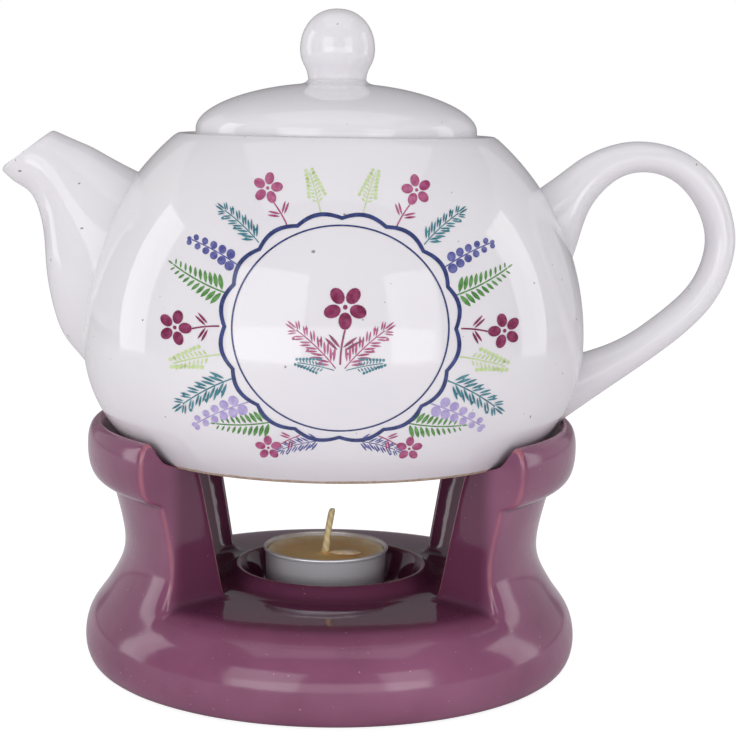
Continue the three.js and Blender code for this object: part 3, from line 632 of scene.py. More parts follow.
# from the middle of the underside, round the flange and the edge, and over the dome to the knob
lid_outline = [
    (6, 171.2), (12, 170.6), (20, 169.8), (26, 168.6), (30, 166.6), (32.2, 164.4), (33.1, 162),
    (33.4, 159.6), (33.4, 151.6), (33.6, 150.9), (34.2, 150.5), (36, 150.5), (36.6, 150.9),
    (36.8, 151.6), (36.8, 159.4), (37, 160.2), (37.6, 160.75), (38.4, 160.8), (41.6, 160.8),
    (42.1, 160.95), (42.35, 161.4), (42.4, 162), (42.4, 163.2),
    *curve((42.4, 163.2), (42.2, 169.4), (27.5, 175.2), (11.4, 176.7), 26),
    *curve((11.4, 176.7), (10.2, 176.85), (9.2, 177.2), (8.8, 178.0), 6),
    (8.4, 178.3), (4, 178.3),
]
lid = grow("Lid", lid_outline, LID_SIDES)
deselect()
bpy.ops.mesh.primitive_cylinder_add(
    vertices=DRILL_SIDES, radius=STEAM_RADIUS * MM, depth=DRILL_LENGTH * MM,
    location=(AXIS_X, STEAM_OUT * MM, LID_MIDDLE * MM))
steam_drill = bpy.context.object
cut_away(lid, steam_drill)
bpy.data.objects.remove(steam_drill)
finish_piece(lid, "lid", "lid", smooth=40)

# %% Knob
KNOB_FOOT, KNOB_TOP, KNOB_RADIUS = 178.0, 199.1, 11.25
KNOB_SIDES = 64
knob_outline = [
    (4, KNOB_FOOT), (8.5, KNOB_FOOT), (8.8, 178.3),
    *curve((8.8, 178.3), (8.8, 179.4), (9.1, 180.4), (9.7, 181.7), 6),
    *curve((9.7, 181.7), (10.8, 183.6), (KNOB_RADIUS, 185.2), (KNOB_RADIUS, 187.2), 8),
    *curve((KNOB_RADIUS, 187.2), (KNOB_RADIUS, 194), (6.6, KNOB_TOP), (0.35, KNOB_TOP), 20),
]
knob = grow("Lid-knob", knob_outline, KNOB_SIDES)
finish_piece(knob, "lid", "lid_knob", smooth=60)

# %% [markdown]
# The tea light is the common kind: a thin drawn aluminium cup with a rolled rim, wax that has sunk a
# little towards the wick, and a cotton wick that leans. It is free in its well and stands a little to the
# spout's side of the warmer's axis.

# %% Tea light: cup
CUP_SHIFT = -1.7  # mm from the axis to the cup's middle
CUP_X = AXIS_X / MM + CUP_SHIFT
CUP_SIDES = 96
cup_low, cup_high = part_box("tealight_cup")
CUP_FLOOR = cup_low[2] / MM
RIM = cup_high[2] / MM


def shift_to_cup(piece):
    """Moves a piece that has grown on the axis to the cup's middle."""
    take(piece)
    bpy.ops.object.mode_set(mode="EDIT")
    bpy.ops.mesh.select_all(action="SELECT")
    bpy.ops.transform.translate(value=(CUP_SHIFT * MM, 0, 0))
    bpy.ops.object.mode_set(mode="OBJECT")


cup_outline = [
    (10, CUP_FLOOR), (16.9, CUP_FLOOR), (17.6, CUP_FLOOR + 0.1), (18.1, CUP_FLOOR + 0.5),
    (18.3, CUP_FLOOR + 1.1), (18.8, RIM - 1.9), *rounded((19.0, RIM - 0.7), 0.5, -70, 200, 12),
    (18.5, RIM - 1.4), (18.4, RIM - 2.2),
    (17.9, CUP_FLOOR + 1.4), (17.4, CUP_FLOOR + 0.7), (16.6, CUP_FLOOR + 0.5), (10, CUP_FLOOR + 0.5),
]
cup = grow("Tealight-cup", cup_outline, CUP_SIDES)
shift_to_cup(cup)
finish_piece(cup, "tealight", "tealight_cup", smooth=50)

# %% Tea light: wax
WAX_TOP = RIM - 2
wax_outline = [
    (10, CUP_FLOOR + 0.8), (16.2, CUP_FLOOR + 0.8), (17.0, CUP_FLOOR + 1.6), (17.9, WAX_TOP - 1.4),
    (18.1, WAX_TOP + 0.3), (18.0, WAX_TOP + 0.5), (17.7, WAX_TOP + 0.45), (17.2, WAX_TOP + 0.1),
    *curve((17.2, WAX_TOP + 0.1), (15.6, WAX_TOP - 0.5), (9, WAX_TOP - 0.9), (3.4, WAX_TOP - 0.85), 10),
    *curve((3.4, WAX_TOP - 0.85), (2.2, WAX_TOP - 0.8), (1.6, WAX_TOP - 0.5), (1.15, WAX_TOP + 0.2), 6),
    (0.8, WAX_TOP + 0.25),
]
wax_block = grow("Tealight-wax", wax_outline, CUP_SIDES)
shift_to_cup(wax_block)
finish_piece(wax_block, "tealight", "tealight_wax", smooth=60)

# %% Tea light: wick
# shift from the cup's middle, height and radius, from the foot in the wax to the tip
wick_places = [(0, 31, 1.1), (0, 33.0, 1.5), (0.15, 34.2, 1.2), (0.4, 37, 1.1), (0.95, 40.6, 1.1),
               (1.5, 43.8, 1.1), (1.85, 45.7, 1.05), (1.95, 46.2, 0.7)]
WICK_SIDES = 12
first_x, first_z, first_size = wick_places[0]
wick = add_ring("Tealight-wick", WICK_SIDES, first_size * MM, ((CUP_X + first_x) * MM, 0, first_z * MM))
for (x, z, size), (next_x, next_z, next_size) in zip(wick_places, wick_places[1:]):
    step = ((next_x - x) * MM, 0, (next_z - z) * MM)
    bpy.ops.mesh.extrude_region_move(TRANSFORM_OT_translate={"value": step})
    share = next_size / size
    bpy.ops.transform.resize(
        value=(share, share, 1), center_override=((CUP_X + next_x) * MM, 0, next_z * MM))
close_up()
bpy.ops.object.mode_set(mode="OBJECT")
subdivide(wick, 2)
finish_piece(wick, "tealight", "tealight_wick", smooth=60)

# %% [markdown]
# A crumb of hardened wax lies beside the wick, as crumbs do once a candle has burnt. It starts as a flat
# ring whose corners are moved in and out by two waves that don't fit together, so that it looks torn. It
# is then drawn up to a low crown in three steps.

# %% Tea light: crumb of wax
FLAKE_X, FLAKE_Y, FLAKE_FOOT = CUP_X + 6.4, -3.2, WAX_TOP - 0.3
FLAKE_HALF_LENGTH, FLAKE_HALF_WIDTH, FLAKE_CORNERS = 4.8, 2.1, 16
flake_middle = (FLAKE_X * MM, FLAKE_Y * MM, FLAKE_FOOT * MM)
flake = add_ring("Wax-flake", FLAKE_CORNERS, MM, flake_middle)
for corner in range(FLAKE_CORNERS):
    mesh = bmesh.from_edit_mesh(flake.data)
    mesh.verts.ensure_lookup_table()
    select_only(mesh, [corner])
    bmesh.update_edit_mesh(flake.data)
    share = 1 + 0.22 * math.sin(2.3 * corner) + 0.12 * math.sin(5.1 * corner)
    bpy.ops.transform.resize(value=(FLAKE_HALF_LENGTH * share, FLAKE_HALF_WIDTH * share, 1),
                             center_override=flake_middle)
bpy.ops.mesh.select_all(action="SELECT")
for rise, share in ((0.6, 1.04), (0.5, 0.78), (0.3, 0.5)):
    bpy.ops.mesh.extrude_region_move(TRANSFORM_OT_translate={"value": (0, 0, rise * MM)})
    bpy.ops.transform.resize(value=(share, share, 1), center_override=flake_middle)
close_up()
bpy.ops.object.mode_set(mode="OBJECT")
subdivide(flake, 2)
finish_piece(flake, "tealight", smooth=60)

# %% [markdown]
# The pot is decorated with a printed transfer: thin ceramic colours that are laid on the glaze and fired
# once more. Here it is a scalloped ring with a wreath of simple leaves and blossoms around it. Each motif
# is drawn flat, from small patches and one bent stem, and then copied around the ring, once to the right
# and once mirrored to the left. All patches of one colour become one piece, and a shrinkwrap presses it
# onto the belly, as a wet transfer is.

# %% Print: patches
def flat_patch(name, width, height, corners=12, point=1.0):
    """A filled patch that stands on its foot at the origin; point draws its two ends out."""
    deselect()
    bpy.ops.mesh.primitive_circle_add(
        vertices=corners, radius=0.5 * MM, fill_type="NGON", rotation=(math.pi / 2, 0, 0))
    patch = bpy.context.object
    patch.name = patch.data.name = name
    patch.scale = (width, height, 1)
    bpy.ops.object.transform_apply(location=False, rotation=True, scale=True)
    bpy.ops.object.mode_set(mode="EDIT")
    bpy.ops.mesh.select_all(action="DESELECT")
    bpy.ops.mesh.select_mode(type="VERT")
    mesh = bmesh.from_edit_mesh(patch.data)
    for vertex in mesh.verts:
        vertex.select_set(abs(vertex.co.z) > 0.49 * height * MM)
    bmesh.update_edit_mesh(patch.data)
    bpy.ops.transform.resize(value=(1, 1, point), center_override=(0, 0, 0))
    bpy.ops.mesh.select_all(action="SELECT")
    bpy.ops.transform.translate(value=(0, 0, height * point / 2 * MM))
    bpy.ops.object.mode_set(mode="OBJECT")
    return patch


print("a patch is the start of each leaf, petal and berry")

# %% Print: stems
STEM_PARTS = 10


def stem_place(length, bend, share):
    """Place on a bent stem and its lean there in degrees."""
    return bend * share ** 2, length * share, math.degrees(math.atan2(2 * bend * share, length))


def flat_stem(length, bend, width=0.45):
    """A narrow strip from the origin upwards, bent to the right by its rows."""
    deselect()
    bpy.ops.mesh.primitive_grid_add(
        x_subdivisions=1, y_subdivisions=STEM_PARTS, size=MM, rotation=(math.pi / 2, 0, 0))
    stem = bpy.context.object
    stem.scale = (width, length, 1)
    bpy.ops.object.transform_apply(location=False, rotation=True, scale=True)
    bpy.ops.object.mode_set(mode="EDIT")
    bpy.ops.mesh.select_mode(type="VERT")
    for row in range(STEM_PARTS + 1):
        height = (row / STEM_PARTS - 0.5) * length * MM
        mesh = bmesh.from_edit_mesh(stem.data)
        for vertex in mesh.verts:
            vertex.select_set(abs(vertex.co.z - height) < 0.01 * MM)
        bmesh.update_edit_mesh(stem.data)
        bpy.ops.transform.translate(value=(bend * (row / STEM_PARTS) ** 2 * MM, 0, 0))
    bpy.ops.mesh.select_all(action="SELECT")
    bpy.ops.transform.translate(value=(0, 0, length / 2 * MM))
    bpy.ops.object.mode_set(mode="OBJECT")
    return stem


print("a stem 20 mm long and bent by 3 mm leans at its tip by", round(stem_place(20, 3, 1)[2]), "degrees")

# %% Print: leaves, petals and berries
def stamp(pattern, x, z, turn, size=1.0, flip=False):
    """A copy of a pattern with its own mesh, leaning by turn degrees to the right."""
    copy = pattern.copy()
    copy.data = pattern.data.copy()
    bpy.context.collection.objects.link(copy)
    copy.matrix_world = (Matrix.Translation((x * MM, 0, z * MM))
                         @ Matrix.Rotation(math.radians(turn), 4, "Y")
                         @ Matrix.Diagonal((-size if flip else size, 1, size, 1)))
    return copy


def join(name, parts):
    """One piece from many, with its place in its mesh."""
    deselect()
    for part in parts:
        part.select_set(True)
    bpy.context.view_layer.objects.active = parts[0]
    bpy.ops.object.join()
    whole = bpy.context.object
    whole.name = whole.data.name = name
    bpy.ops.object.transform_apply(location=True, rotation=True, scale=True)
    return whole


half_leaf = flat_patch("Half-leaf", 0.95, 4.6, point=1.2)
leaf = join("Leaf", [stamp(half_leaf, -0.52, 0.1, -3), stamp(half_leaf, 0.52, 0.1, 3)])
leaflet = flat_patch("Leaflet", 1.1, 3.0, corners=10, point=1.2)
berry = flat_patch("Berry", 1.5, 1.5)
outer_petal = flat_patch("Petal", 3.1, 4.0, corners=14)
round_leaf = flat_patch("Round-leaf", 2.7, 2.9, corners=14)
print("patches", [patch.name for patch in (leaf, leaflet, berry, outer_petal, round_leaf)])

# %% [markdown]
# A sprig is a stem with leaves on both sides, set where the stem is at each share of its length and
# turned with it. The five kinds differ in what they carry, how many and how steep. All sizes are in
# millimetres and all turns in degrees from upright.

# %% Print: sprigs
def sprig_of_leaves(length=20, bend=3, pairs=6):
    """Pairs of leaves that get smaller upwards, with berries at every other pair."""
    parts = [flat_stem(length, bend)]
    for pair in range(pairs):
        x, z, lean = stem_place(length, bend, (pair + 0.8) / pairs)
        for side in (-1, 1):
            parts.append(stamp(leaf, x + side * 0.5, z, lean + side * 42, 1 - 0.07 * pair))
            if pair % 2:
                parts.append(stamp(berry, x + side * 3.0, z - 1.8, 0, 0.8))
    x, z, lean = stem_place(length, bend, 1)
    parts.append(stamp(leaf, x, z + 0.2, lean, 0.8))
    return join("Sprig-of-leaves", parts)


def fern(length=19, bend=-2.5, pairs=10):
    """Many pairs of narrow leaflets that taper to the tip."""
    parts = [flat_stem(length, bend, 0.5)]
    for pair in range(pairs):
        share = (pair + 0.6) / pairs
        x, z, lean = stem_place(length, bend, share)
        for side in (-1, 1):
            parts.append(stamp(leaflet, x + side * 0.45, z, lean + side * 62, 1.5 - 1.0 * share))
    x, z, lean = stem_place(length, bend, 1)
    parts.append(stamp(leaflet, x, z + 0.1, lean, 0.6))
    return join("Fern", parts)


def blossom(length=8, bend=1):
    """Five petals round a middle, on a short stem with one pair of leaves."""
    parts = [flat_stem(length, bend)]
    x, z, lean = stem_place(length, bend, 0.45)
    parts += [stamp(leaf, x + side * 0.5, z, lean + side * 50, 0.75) for side in (-1, 1)]
    x, z, lean = stem_place(length, bend, 1)
    middle = z + 5.2
    for turn in range(36, 360, 72):
        parts.append(stamp(outer_petal, x + 1.15 * math.sin(math.radians(turn)),
                           middle + 1.15 * math.cos(math.radians(turn)), turn))
    parts.append(stamp(berry, x, middle - 0.55, 0, 0.75))
    return join("Blossom", parts)


def round_leaves(length=19, bend=2.5, count=11):
    """Round leaves that stand left and right in turn."""
    parts = [flat_stem(length, bend)]
    for number in range(count):
        share = (number + 1) / count
        x, z, lean = stem_place(length, bend, share)
        side = -1 if number % 2 else 1
        parts.append(stamp(round_leaf, x + side * 0.4, z, lean + side * 58, 1.3 - 0.6 * share))
    x, z, lean = stem_place(length, bend, 1)
    parts.append(stamp(round_leaf, x, z + 0.1, lean, 0.6))
    return join("Round-leaves", parts)


def buds(length=16, bend=1.5, count=8):
    """Pairs of buds on short leaflets, on the upper part of the stem."""
    parts = [flat_stem(length, bend, 0.4)]
    for number in range(count):
        share = 0.35 + 0.6 * number / (count - 1)
        x, z, lean = stem_place(length, bend, share)
        for side in (-1, 1):
            reach = 4.2 - 3.2 * share
            parts.append(stamp(berry, x + side * reach, z + 0.8, 0, 0.85))
            parts.append(stamp(leaflet, x + side * 0.4, z - 0.7, lean + side * 60, 0.55))
    return join("Buds", parts)


sprigs = {"leaves": sprig_of_leaves(), "fern": fern(), "blossom": blossom(),
          "round": round_leaves(), "buds": buds()}
print("sprigs", {name: len(sprig.data.polygons) for name, sprig in sprigs.items()})

# %% Print: wreath
PRINT_MIDDLE = (AXIS_X / MM + 1.7, 111.5)
RING_WIDE, RING_HIGH = 32.6, 30.6
# place on the ring in degrees from the top, sprig, lean from upright, size, colour
wreath = [
    (10, "buds", 12, 0.72, "lime"), (27, "blossom", 26, 0.82, "magenta"),
    (43, "leaves", 42, 0.62, "teal"), (58, "round", 58, 0.76, "indigo"),
    (73, "fern", 74, 0.84, "green"), (90, "blossom", 92, 0.95, "plum"),
    (104, "buds", 100, 0.9, "lime"), (117, "leaves", 113, 0.8, "teal"),
    (131, "round", 110, 0.85, "lilac"), (146, "fern", 104, 0.8, "green"),
    (161, "blossom", 112, 0.72, "magenta"), (172, "leaves", 97, 0.55, "indigo"),
]
colours = {}
for place, kind, lean, size, colour in wreath:
    for side in (1, -1):
        turn = math.radians(place * side)
        across, up = RING_WIDE * math.sin(turn), RING_HIGH * math.cos(turn)
        colours.setdefault(colour, []).append(
            stamp(sprigs[kind], across, up, lean * side, size, side < 0))
# a small spray in the middle of the ring
colours["plum"].append(stamp(sprigs["blossom"], 0, -9, 0, 1.15))
for side in (1, -1):
    colours["magenta"].append(stamp(sprigs["leaves"], side * 1.2, -10, 38 * side, 0.72, side < 0))
    colours["teal"].append(stamp(sprigs["buds"], side * 1.6, -10.5, 74 * side, 0.62, side < 0))
print("sprigs of each colour", {colour: len(parts) for colour, parts in colours.items()})

# %% [markdown]
# Two lines frame the middle: an outer one with sixteen lobes and a plain thin one inside it. Each is a
# circle that is stood upright, pressed to the print's oval and drawn inwards a little, which turns the
# edge into a band.

# %% Print: rings
LOBES, CORNERS_PER_LOBE, LOBE_RISE = 16, 12, 0.045
LINE_SHARE = 0.965
THIN_CORNERS, THIN_RADIUS, THIN_SHARE = 120, 29.4, 0.984


def upright_circle(corners, radius):
    """A circle that faces the front, in edit mode with its corners to choose from."""
    deselect()
    bpy.ops.mesh.primitive_circle_add(
        vertices=corners, radius=radius * MM, rotation=(math.pi / 2, 0, 0))
    bpy.ops.object.transform_apply(location=False, rotation=True, scale=True)
    bpy.ops.object.mode_set(mode="EDIT")
    bpy.ops.mesh.select_mode(type="VERT")
    return bpy.context.object


def draw_line(share):
    """Makes the circle an oval, and a band that reaches inwards to a share of its size."""
    bpy.ops.mesh.select_all(action="SELECT")
    bpy.ops.transform.resize(value=(1, 1, RING_HIGH / RING_WIDE), center_override=(0, 0, 0))
    bpy.ops.mesh.extrude_edges_move()
    bpy.ops.transform.resize(value=(share, 1, share), center_override=(0, 0, 0))
    bpy.ops.object.mode_set(mode="OBJECT")


scallops = upright_circle(LOBES * CORNERS_PER_LOBE, RING_WIDE)
for corner in range(CORNERS_PER_LOBE):
    mesh = bmesh.from_edit_mesh(scallops.data)
    for vertex in mesh.verts:
        turn = math.degrees(math.atan2(vertex.co.x, vertex.co.z)) % (360 / LOBES)
        vertex.select_set(round(turn * LOBES * CORNERS_PER_LOBE / 360) % CORNERS_PER_LOBE == corner)
    bmesh.update_edit_mesh(scallops.data)
    share = 1 + LOBE_RISE * (abs(math.sin(math.pi * corner / CORNERS_PER_LOBE)) - 0.6)
    bpy.ops.transform.resize(value=(share, 1, share), center_override=(0, 0, 0))
draw_line(LINE_SHARE)
thin_ring = upright_circle(THIN_CORNERS, THIN_RADIUS)
draw_line(THIN_SHARE)
colours["navy"] = [scallops, thin_ring]
for pattern in [half_leaf, leaf, leaflet, berry, outer_petal, round_leaf, *sprigs.values()]:
    bpy.data.objects.remove(pattern)
print("scalloped ring", LOBES, "lobes, thin ring", THIN_RADIUS, "mm in radius")

# %% Print: pressed onto the belly
PRINT_START = -120  # mm; the flat print stands in front of the pot
FILM, FILM_STEP = 0.05, 0.012  # mm over the glaze, and more for each next colour
print_pieces = {}
for layer, (colour, parts) in enumerate(sorted(colours.items())):
    piece = join("Print-" + colour, parts)
    bpy.ops.object.mode_set(mode="EDIT")
    bpy.ops.mesh.select_all(action="SELECT")
    bpy.ops.transform.translate(
        value=(PRINT_MIDDLE[0] * MM, PRINT_START * MM, PRINT_MIDDLE[1] * MM))
    bpy.ops.mesh.select_mode(type="FACE")
    mesh = bmesh.from_edit_mesh(piece.data)
    mesh.normal_update()
    for face in mesh.faces:
        face.select_set(face.normal.y > 0)
    bmesh.update_edit_mesh(piece.data)
    bpy.ops.mesh.flip_normals()
    bpy.ops.object.mode_set(mode="OBJECT")
    bpy.ops.object.modifier_add(type="SHRINKWRAP")
    press = piece.modifiers[-1]
    press.wrap_method = "PROJECT"
    press.wrap_mode = "ABOVE_SURFACE"
    press.use_project_y = True
    press.use_positive_direction = True
    press.use_negative_direction = False
    press.target = pot_body
    press.offset = (FILM + FILM_STEP * layer) * MM
    bpy.ops.object.modifier_apply(modifier=press.name)
    finish_piece(piece, "pot", smooth=80)
    print_pieces[colour] = piece

# %% [markdown]
# Now the materials. One function turns a hex colour as seen on screen into the linear numbers that
# Blender reckons with. Another adds a node. Its inputs are given in order or by name, as values, hex
# colours or other nodes. A node that is given as an input is linked from its first output in use.

# %% Material helpers
PER_MM = 1000  # scale of a pattern whose patches are one millimetre wide
LOW, HIGH = 0.3, 0.7  # most values of a noise pattern lie between these


def linear(hex_colour):
    """Red, green, blue and full alpha in linear numbers, from a colour such as #808080."""
    values = [int(hex_colour[i:i + 2], 16) / 255 for i in (1, 3, 5)]
    return [v / 12.92 if v <= 0.04045 else ((v + 0.055) / 1.055) ** 2.4 for v in values] + [1]


def add_node(owner, kind, inputs=(), **settings):
    """Adds a node to a material or world: inputs as a list in order, or as a dict by name or number."""
    node = owner.node_tree.nodes.new(kind)
    for name, value in settings.items():
        setattr(node, name, value)
    for name, value in inputs.items() if isinstance(inputs, dict) else enumerate(inputs):
        if isinstance(value, bpy.types.Node):
            value = next(socket for socket in value.outputs if socket.enabled)
        if isinstance(value, bpy.types.NodeSocket):
            owner.node_tree.links.new(value, node.inputs[name])
        else:
            node.inputs[name].default_value = linear(value) if isinstance(value, str) else value
    return node


def new_material(name):
    """A material without nodes."""
    material = bpy.data.materials.new(name)
    material.use_nodes = True
    material.node_tree.nodes.clear()
    return material


print("middle grey on screen is", [round(value, 3) for value in linear("#808080")])

# %% [markdown]
# Where the glaze runs over an edge it gets thin, and the clay and the first coat show through. The same
# lighter colour along the rounded edges is also a painted highlight. In hollows the colour is made darker.
# So each corner of the warmer's mesh keeps a number for how the surface bends there: above zero on ridges
# and below zero in hollows. The glaze's colours follow it.

# %% How a surface bends
SHORTEST = 1e-9  # square mm, so that no edge divides by zero


def mark_bends(piece, rounds=2):
    """Stores the mean bend in 1/mm at each corner as the attribute Bend."""
    mesh = piece.data
    places = np.empty(len(mesh.vertices) * 3)
    mesh.vertices.foreach_get("co", places)
    places = places.reshape(-1, 3) / MM
    normals = np.empty(len(mesh.vertices) * 3)
    mesh.vertices.foreach_get("normal", normals)
    normals = normals.reshape(-1, 3)
    ends = np.empty(len(mesh.edges) * 2, dtype=np.int64)
    mesh.edges.foreach_get("vertices", ends)
    first, last = ends.reshape(-1, 2).T
    step = places[last] - places[first]
    bend = ((normals[last] - normals[first]) * step).sum(1) / np.maximum((step ** 2).sum(1), SHORTEST)

    def gathered(values_first, values_last):
        """The mean at each corner of what its edges bring."""
        total, hits = np.zeros(len(places)), np.zeros(len(places))
        np.add.at(total, first, values_first)
        np.add.at(total, last, values_last)
        np.add.at(hits, first, 1)
        np.add.at(hits, last, 1)
        return total / np.maximum(hits, 1)

    values = gathered(bend, bend)
    for _ in range(rounds):
        values = (values + gathered(values[last], values[first])) / 2
    attribute = mesh.attributes.new("Bend", "FLOAT", "POINT")
    attribute.data.foreach_set("value", values.astype(np.float32))
    print(piece.name, "bends from", round(float(values.min()), 2), "to", round(float(values.max()), 2),
          "per mm")


mark_bends(warmer)

# %% [markdown]
# The warmer's glaze is a glossy coloured glaze on stoneware, dipped and fired. It is purple where it is
# thick, brick red where it breaks over an edge, and it has fine pale specks and slow changes of depth. The
# brick red along the rounded edges is partly a painted highlight. The colour comes first: clouds of two
# purples, a deeper one on the deck and in the well, then the breaks with their painted highlight, the
# darker colour in hollows and the specks over it.

# %% Plum glaze: colour
INSIDE, OUTSIDE = 59 * MM, 65 * MM  # distance from the axis where the deeper colour ends
# the lighter colour on ridges is partly the glaze's break and partly a painted highlight; hollows are made
# darker
BREAK_AND_HIGHLIGHT_START, BREAK_AND_HIGHLIGHT_FULL, BREAK_AND_HIGHLIGHT_SHARE = 0.17, 0.5, 0.85  # bend in 1/mm, and how much of the break shows
HOLLOW_DARK_START, HOLLOW_DARK_FULL = -0.04, -0.3
plum = new_material("Plum-glaze-on-stoneware")
coords = add_node(plum, "ShaderNodeTexCoord").outputs["Object"]
bend = add_node(plum, "ShaderNodeAttribute", attribute_name="Bend").outputs["Fac"]
clouds = add_node(plum, "ShaderNodeTexNoise", {"Vector": coords, "Scale": PER_MM / 26, "Detail": 3})
depth = add_node(plum, "ShaderNodeMapRange", [clouds, LOW, HIGH])
outer = add_node(plum, "ShaderNodeMix", {0: depth, 6: "#7a4461", 7: "#8d5573"}, data_type="RGBA")
off_axis = add_node(plum, "ShaderNodeMapping", {"Vector": coords, "Location": (-AXIS_X, 0, 0)})
flattened = add_node(plum, "ShaderNodeVectorMath", [off_axis, (1, 1, 0)], operation="MULTIPLY")
from_axis = add_node(plum, "ShaderNodeVectorMath", [flattened], operation="LENGTH")
inside = add_node(plum, "ShaderNodeMapRange", [from_axis, INSIDE, OUTSIDE, 1, 0],
                  interpolation_type="SMOOTHSTEP")
whole = add_node(plum, "ShaderNodeMix", {0: inside, 6: outer, 7: "#673450"}, data_type="RGBA")
wander = add_node(plum, "ShaderNodeTexNoise", {"Vector": coords, "Scale": PER_MM / 5, "Detail": 3})
wobble = add_node(plum, "ShaderNodeMapRange", [wander, LOW, HIGH, -0.05, 0.05])
uneven_bend = add_node(plum, "ShaderNodeMath", [bend, wobble], operation="ADD")
# partly painted highlight: lighter brick red on ridges, where the glaze also breaks
thin = add_node(plum, "ShaderNodeMapRange", [uneven_bend, BREAK_AND_HIGHLIGHT_START, BREAK_AND_HIGHLIGHT_FULL, 0, BREAK_AND_HIGHLIGHT_SHARE],
                interpolation_type="SMOOTHSTEP")
with_break_and_highlight = add_node(plum, "ShaderNodeMix", {0: thin, 6: whole, 7: "#a5636f"}, data_type="RGBA")
# darker colour in hollows, where the surface bends inwards
hollow_share = add_node(plum, "ShaderNodeMapRange", [bend, HOLLOW_DARK_START, HOLLOW_DARK_FULL])
darker_in_hollows = add_node(plum, "ShaderNodeMix", {0: hollow_share, 6: with_break_and_highlight, 7: "#47243a"}, data_type="RGBA")
grains = add_node(plum, "ShaderNodeTexNoise", {"Vector": coords, "Scale": PER_MM / 0.9, "Detail": 1})
specks = add_node(plum, "ShaderNodeMapRange", [grains, 0.76, 0.84])
speckled = add_node(plum, "ShaderNodeMix", {0: specks, 6: darker_in_hollows, 7: "#b98aa0"}, data_type="RGBA")
print(plum.name, "breaks from", BREAK_AND_HIGHLIGHT_START, "and hollow_darkening from", HOLLOW_DARK_START, "per mm")

# %% [markdown]
# A fired glaze is very smooth, with a slight unevenness a few millimetres wide, and it mirrors a lamp
# with a clear edge. On the warmer's outside the mirror is a little softer than on its deck.

# %% Plum glaze: gloss
ripples = add_node(plum, "ShaderNodeTexNoise", {"Vector": coords, "Scale": PER_MM / 7})
skin = add_node(plum, "ShaderNodeBump", {"Height": ripples, "Strength": 0.1, "Distance": 0.4 * MM})
sheen = add_node(plum, "ShaderNodeMapRange", [inside, 0, 1, 0.13, 0.06])
glaze = add_node(plum, "ShaderNodeBsdfPrincipled", {
    "Base Color": speckled, "Roughness": sheen, "IOR": 1.52, "Normal": skin})
add_node(plum, "ShaderNodeOutputMaterial", {"Surface": glaze})
print(plum.name, "has", len(plum.node_tree.nodes), "nodes")

# %% [markdown]
# The pot's glaze is a clear gloss over white earthenware: nearly white with a slight lilac cast, and a
# few iron specks. The pot's foot was wiped before firing, so the bare clay shows as a thin tan line.

# %% White glaze
CLAY_LINE = 67.75 * MM  # the foot is bare below this height
CLAY_FADE, CLAY_WANDER = 0.15 * MM, 0.12 * MM  # how soft the glaze's edge is, and how far it wanders


def white_glaze(name, bare_foot=False):
    """A clear gloss on white clay, wiped off below the clay line if the piece has a bare foot."""
    material = new_material(name)
    coords = add_node(material, "ShaderNodeTexCoord").outputs["Object"]
    clouds = add_node(material, "ShaderNodeTexNoise", {"Vector": coords, "Scale": PER_MM / 40})
    tone = add_node(material, "ShaderNodeMapRange", [clouds, LOW, HIGH])
    white = add_node(material, "ShaderNodeMix", {0: tone, 6: "#e1dee3", 7: "#e6e4e7"}, data_type="RGBA")
    grains = add_node(material, "ShaderNodeTexNoise", {
        "Vector": coords, "Scale": PER_MM / 1.6, "Detail": 0})
    dots = add_node(material, "ShaderNodeMapRange", [grains, 0.872, 0.885])
    colour = add_node(material, "ShaderNodeMix", {0: dots, 6: white, 7: "#9b938f"}, data_type="RGBA")
    ripples = add_node(material, "ShaderNodeTexNoise", {"Vector": coords, "Scale": PER_MM / 9})
    skin = add_node(material, "ShaderNodeBump", {
        "Height": ripples, "Strength": 0.04, "Distance": 0.4 * MM})
    glaze = {"Base Color": colour, "Roughness": 0.05, "IOR": 1.5, "Normal": skin}
    if bare_foot:
        height = add_node(material, "ShaderNodeSeparateXYZ", [coords]).outputs["Z"]
        wander = add_node(material, "ShaderNodeTexNoise", {"Vector": coords, "Scale": PER_MM / 6})
        wobble = add_node(material, "ShaderNodeMapRange", [wander, LOW, HIGH, -CLAY_WANDER, CLAY_WANDER])
        wavy = add_node(material, "ShaderNodeMath", [height, wobble], operation="ADD")
        bare = add_node(material, "ShaderNodeMapRange", [wavy, CLAY_LINE, CLAY_LINE + CLAY_FADE, 1, 0])
        sand = add_node(material, "ShaderNodeTexNoise", {
            "Vector": coords, "Scale": PER_MM / 1.2, "Detail": 3})
        grit = add_node(material, "ShaderNodeMapRange", [sand, 0.35, 0.65])
        clay = add_node(material, "ShaderNodeMix", {0: grit, 6: "#a8917f", 7: "#c2ad9b"}, data_type="RGBA")
        glaze["Base Color"] = add_node(material, "ShaderNodeMix", {0: bare, 6: colour, 7: clay},
                                       data_type="RGBA")
        glaze["Roughness"] = add_node(material, "ShaderNodeMapRange", [bare, 0, 1, 0.06, 0.75])
    surface = add_node(material, "ShaderNodeBsdfPrincipled", glaze)
    add_node(material, "ShaderNodeOutputMaterial", {"Surface": surface})
    print(name, "has", len(material.node_tree.nodes), "nodes")
    return material


white_ware = white_glaze("White-glaze-on-earthenware")
footed_ware = white_glaze("White-glaze-with-bare-foot", bare_foot=True)

# %% [markdown]
# The tea light's cup is drawn from aluminium sheet. That leaves fine lines around it, and they spread a
# reflection up and down the side. The dull oxide film scatters half of the light, so the cup isn't a
# mirror. Drawing lines are some 0.05 mm apart, and are drawn here at 0.4 mm so that they show.

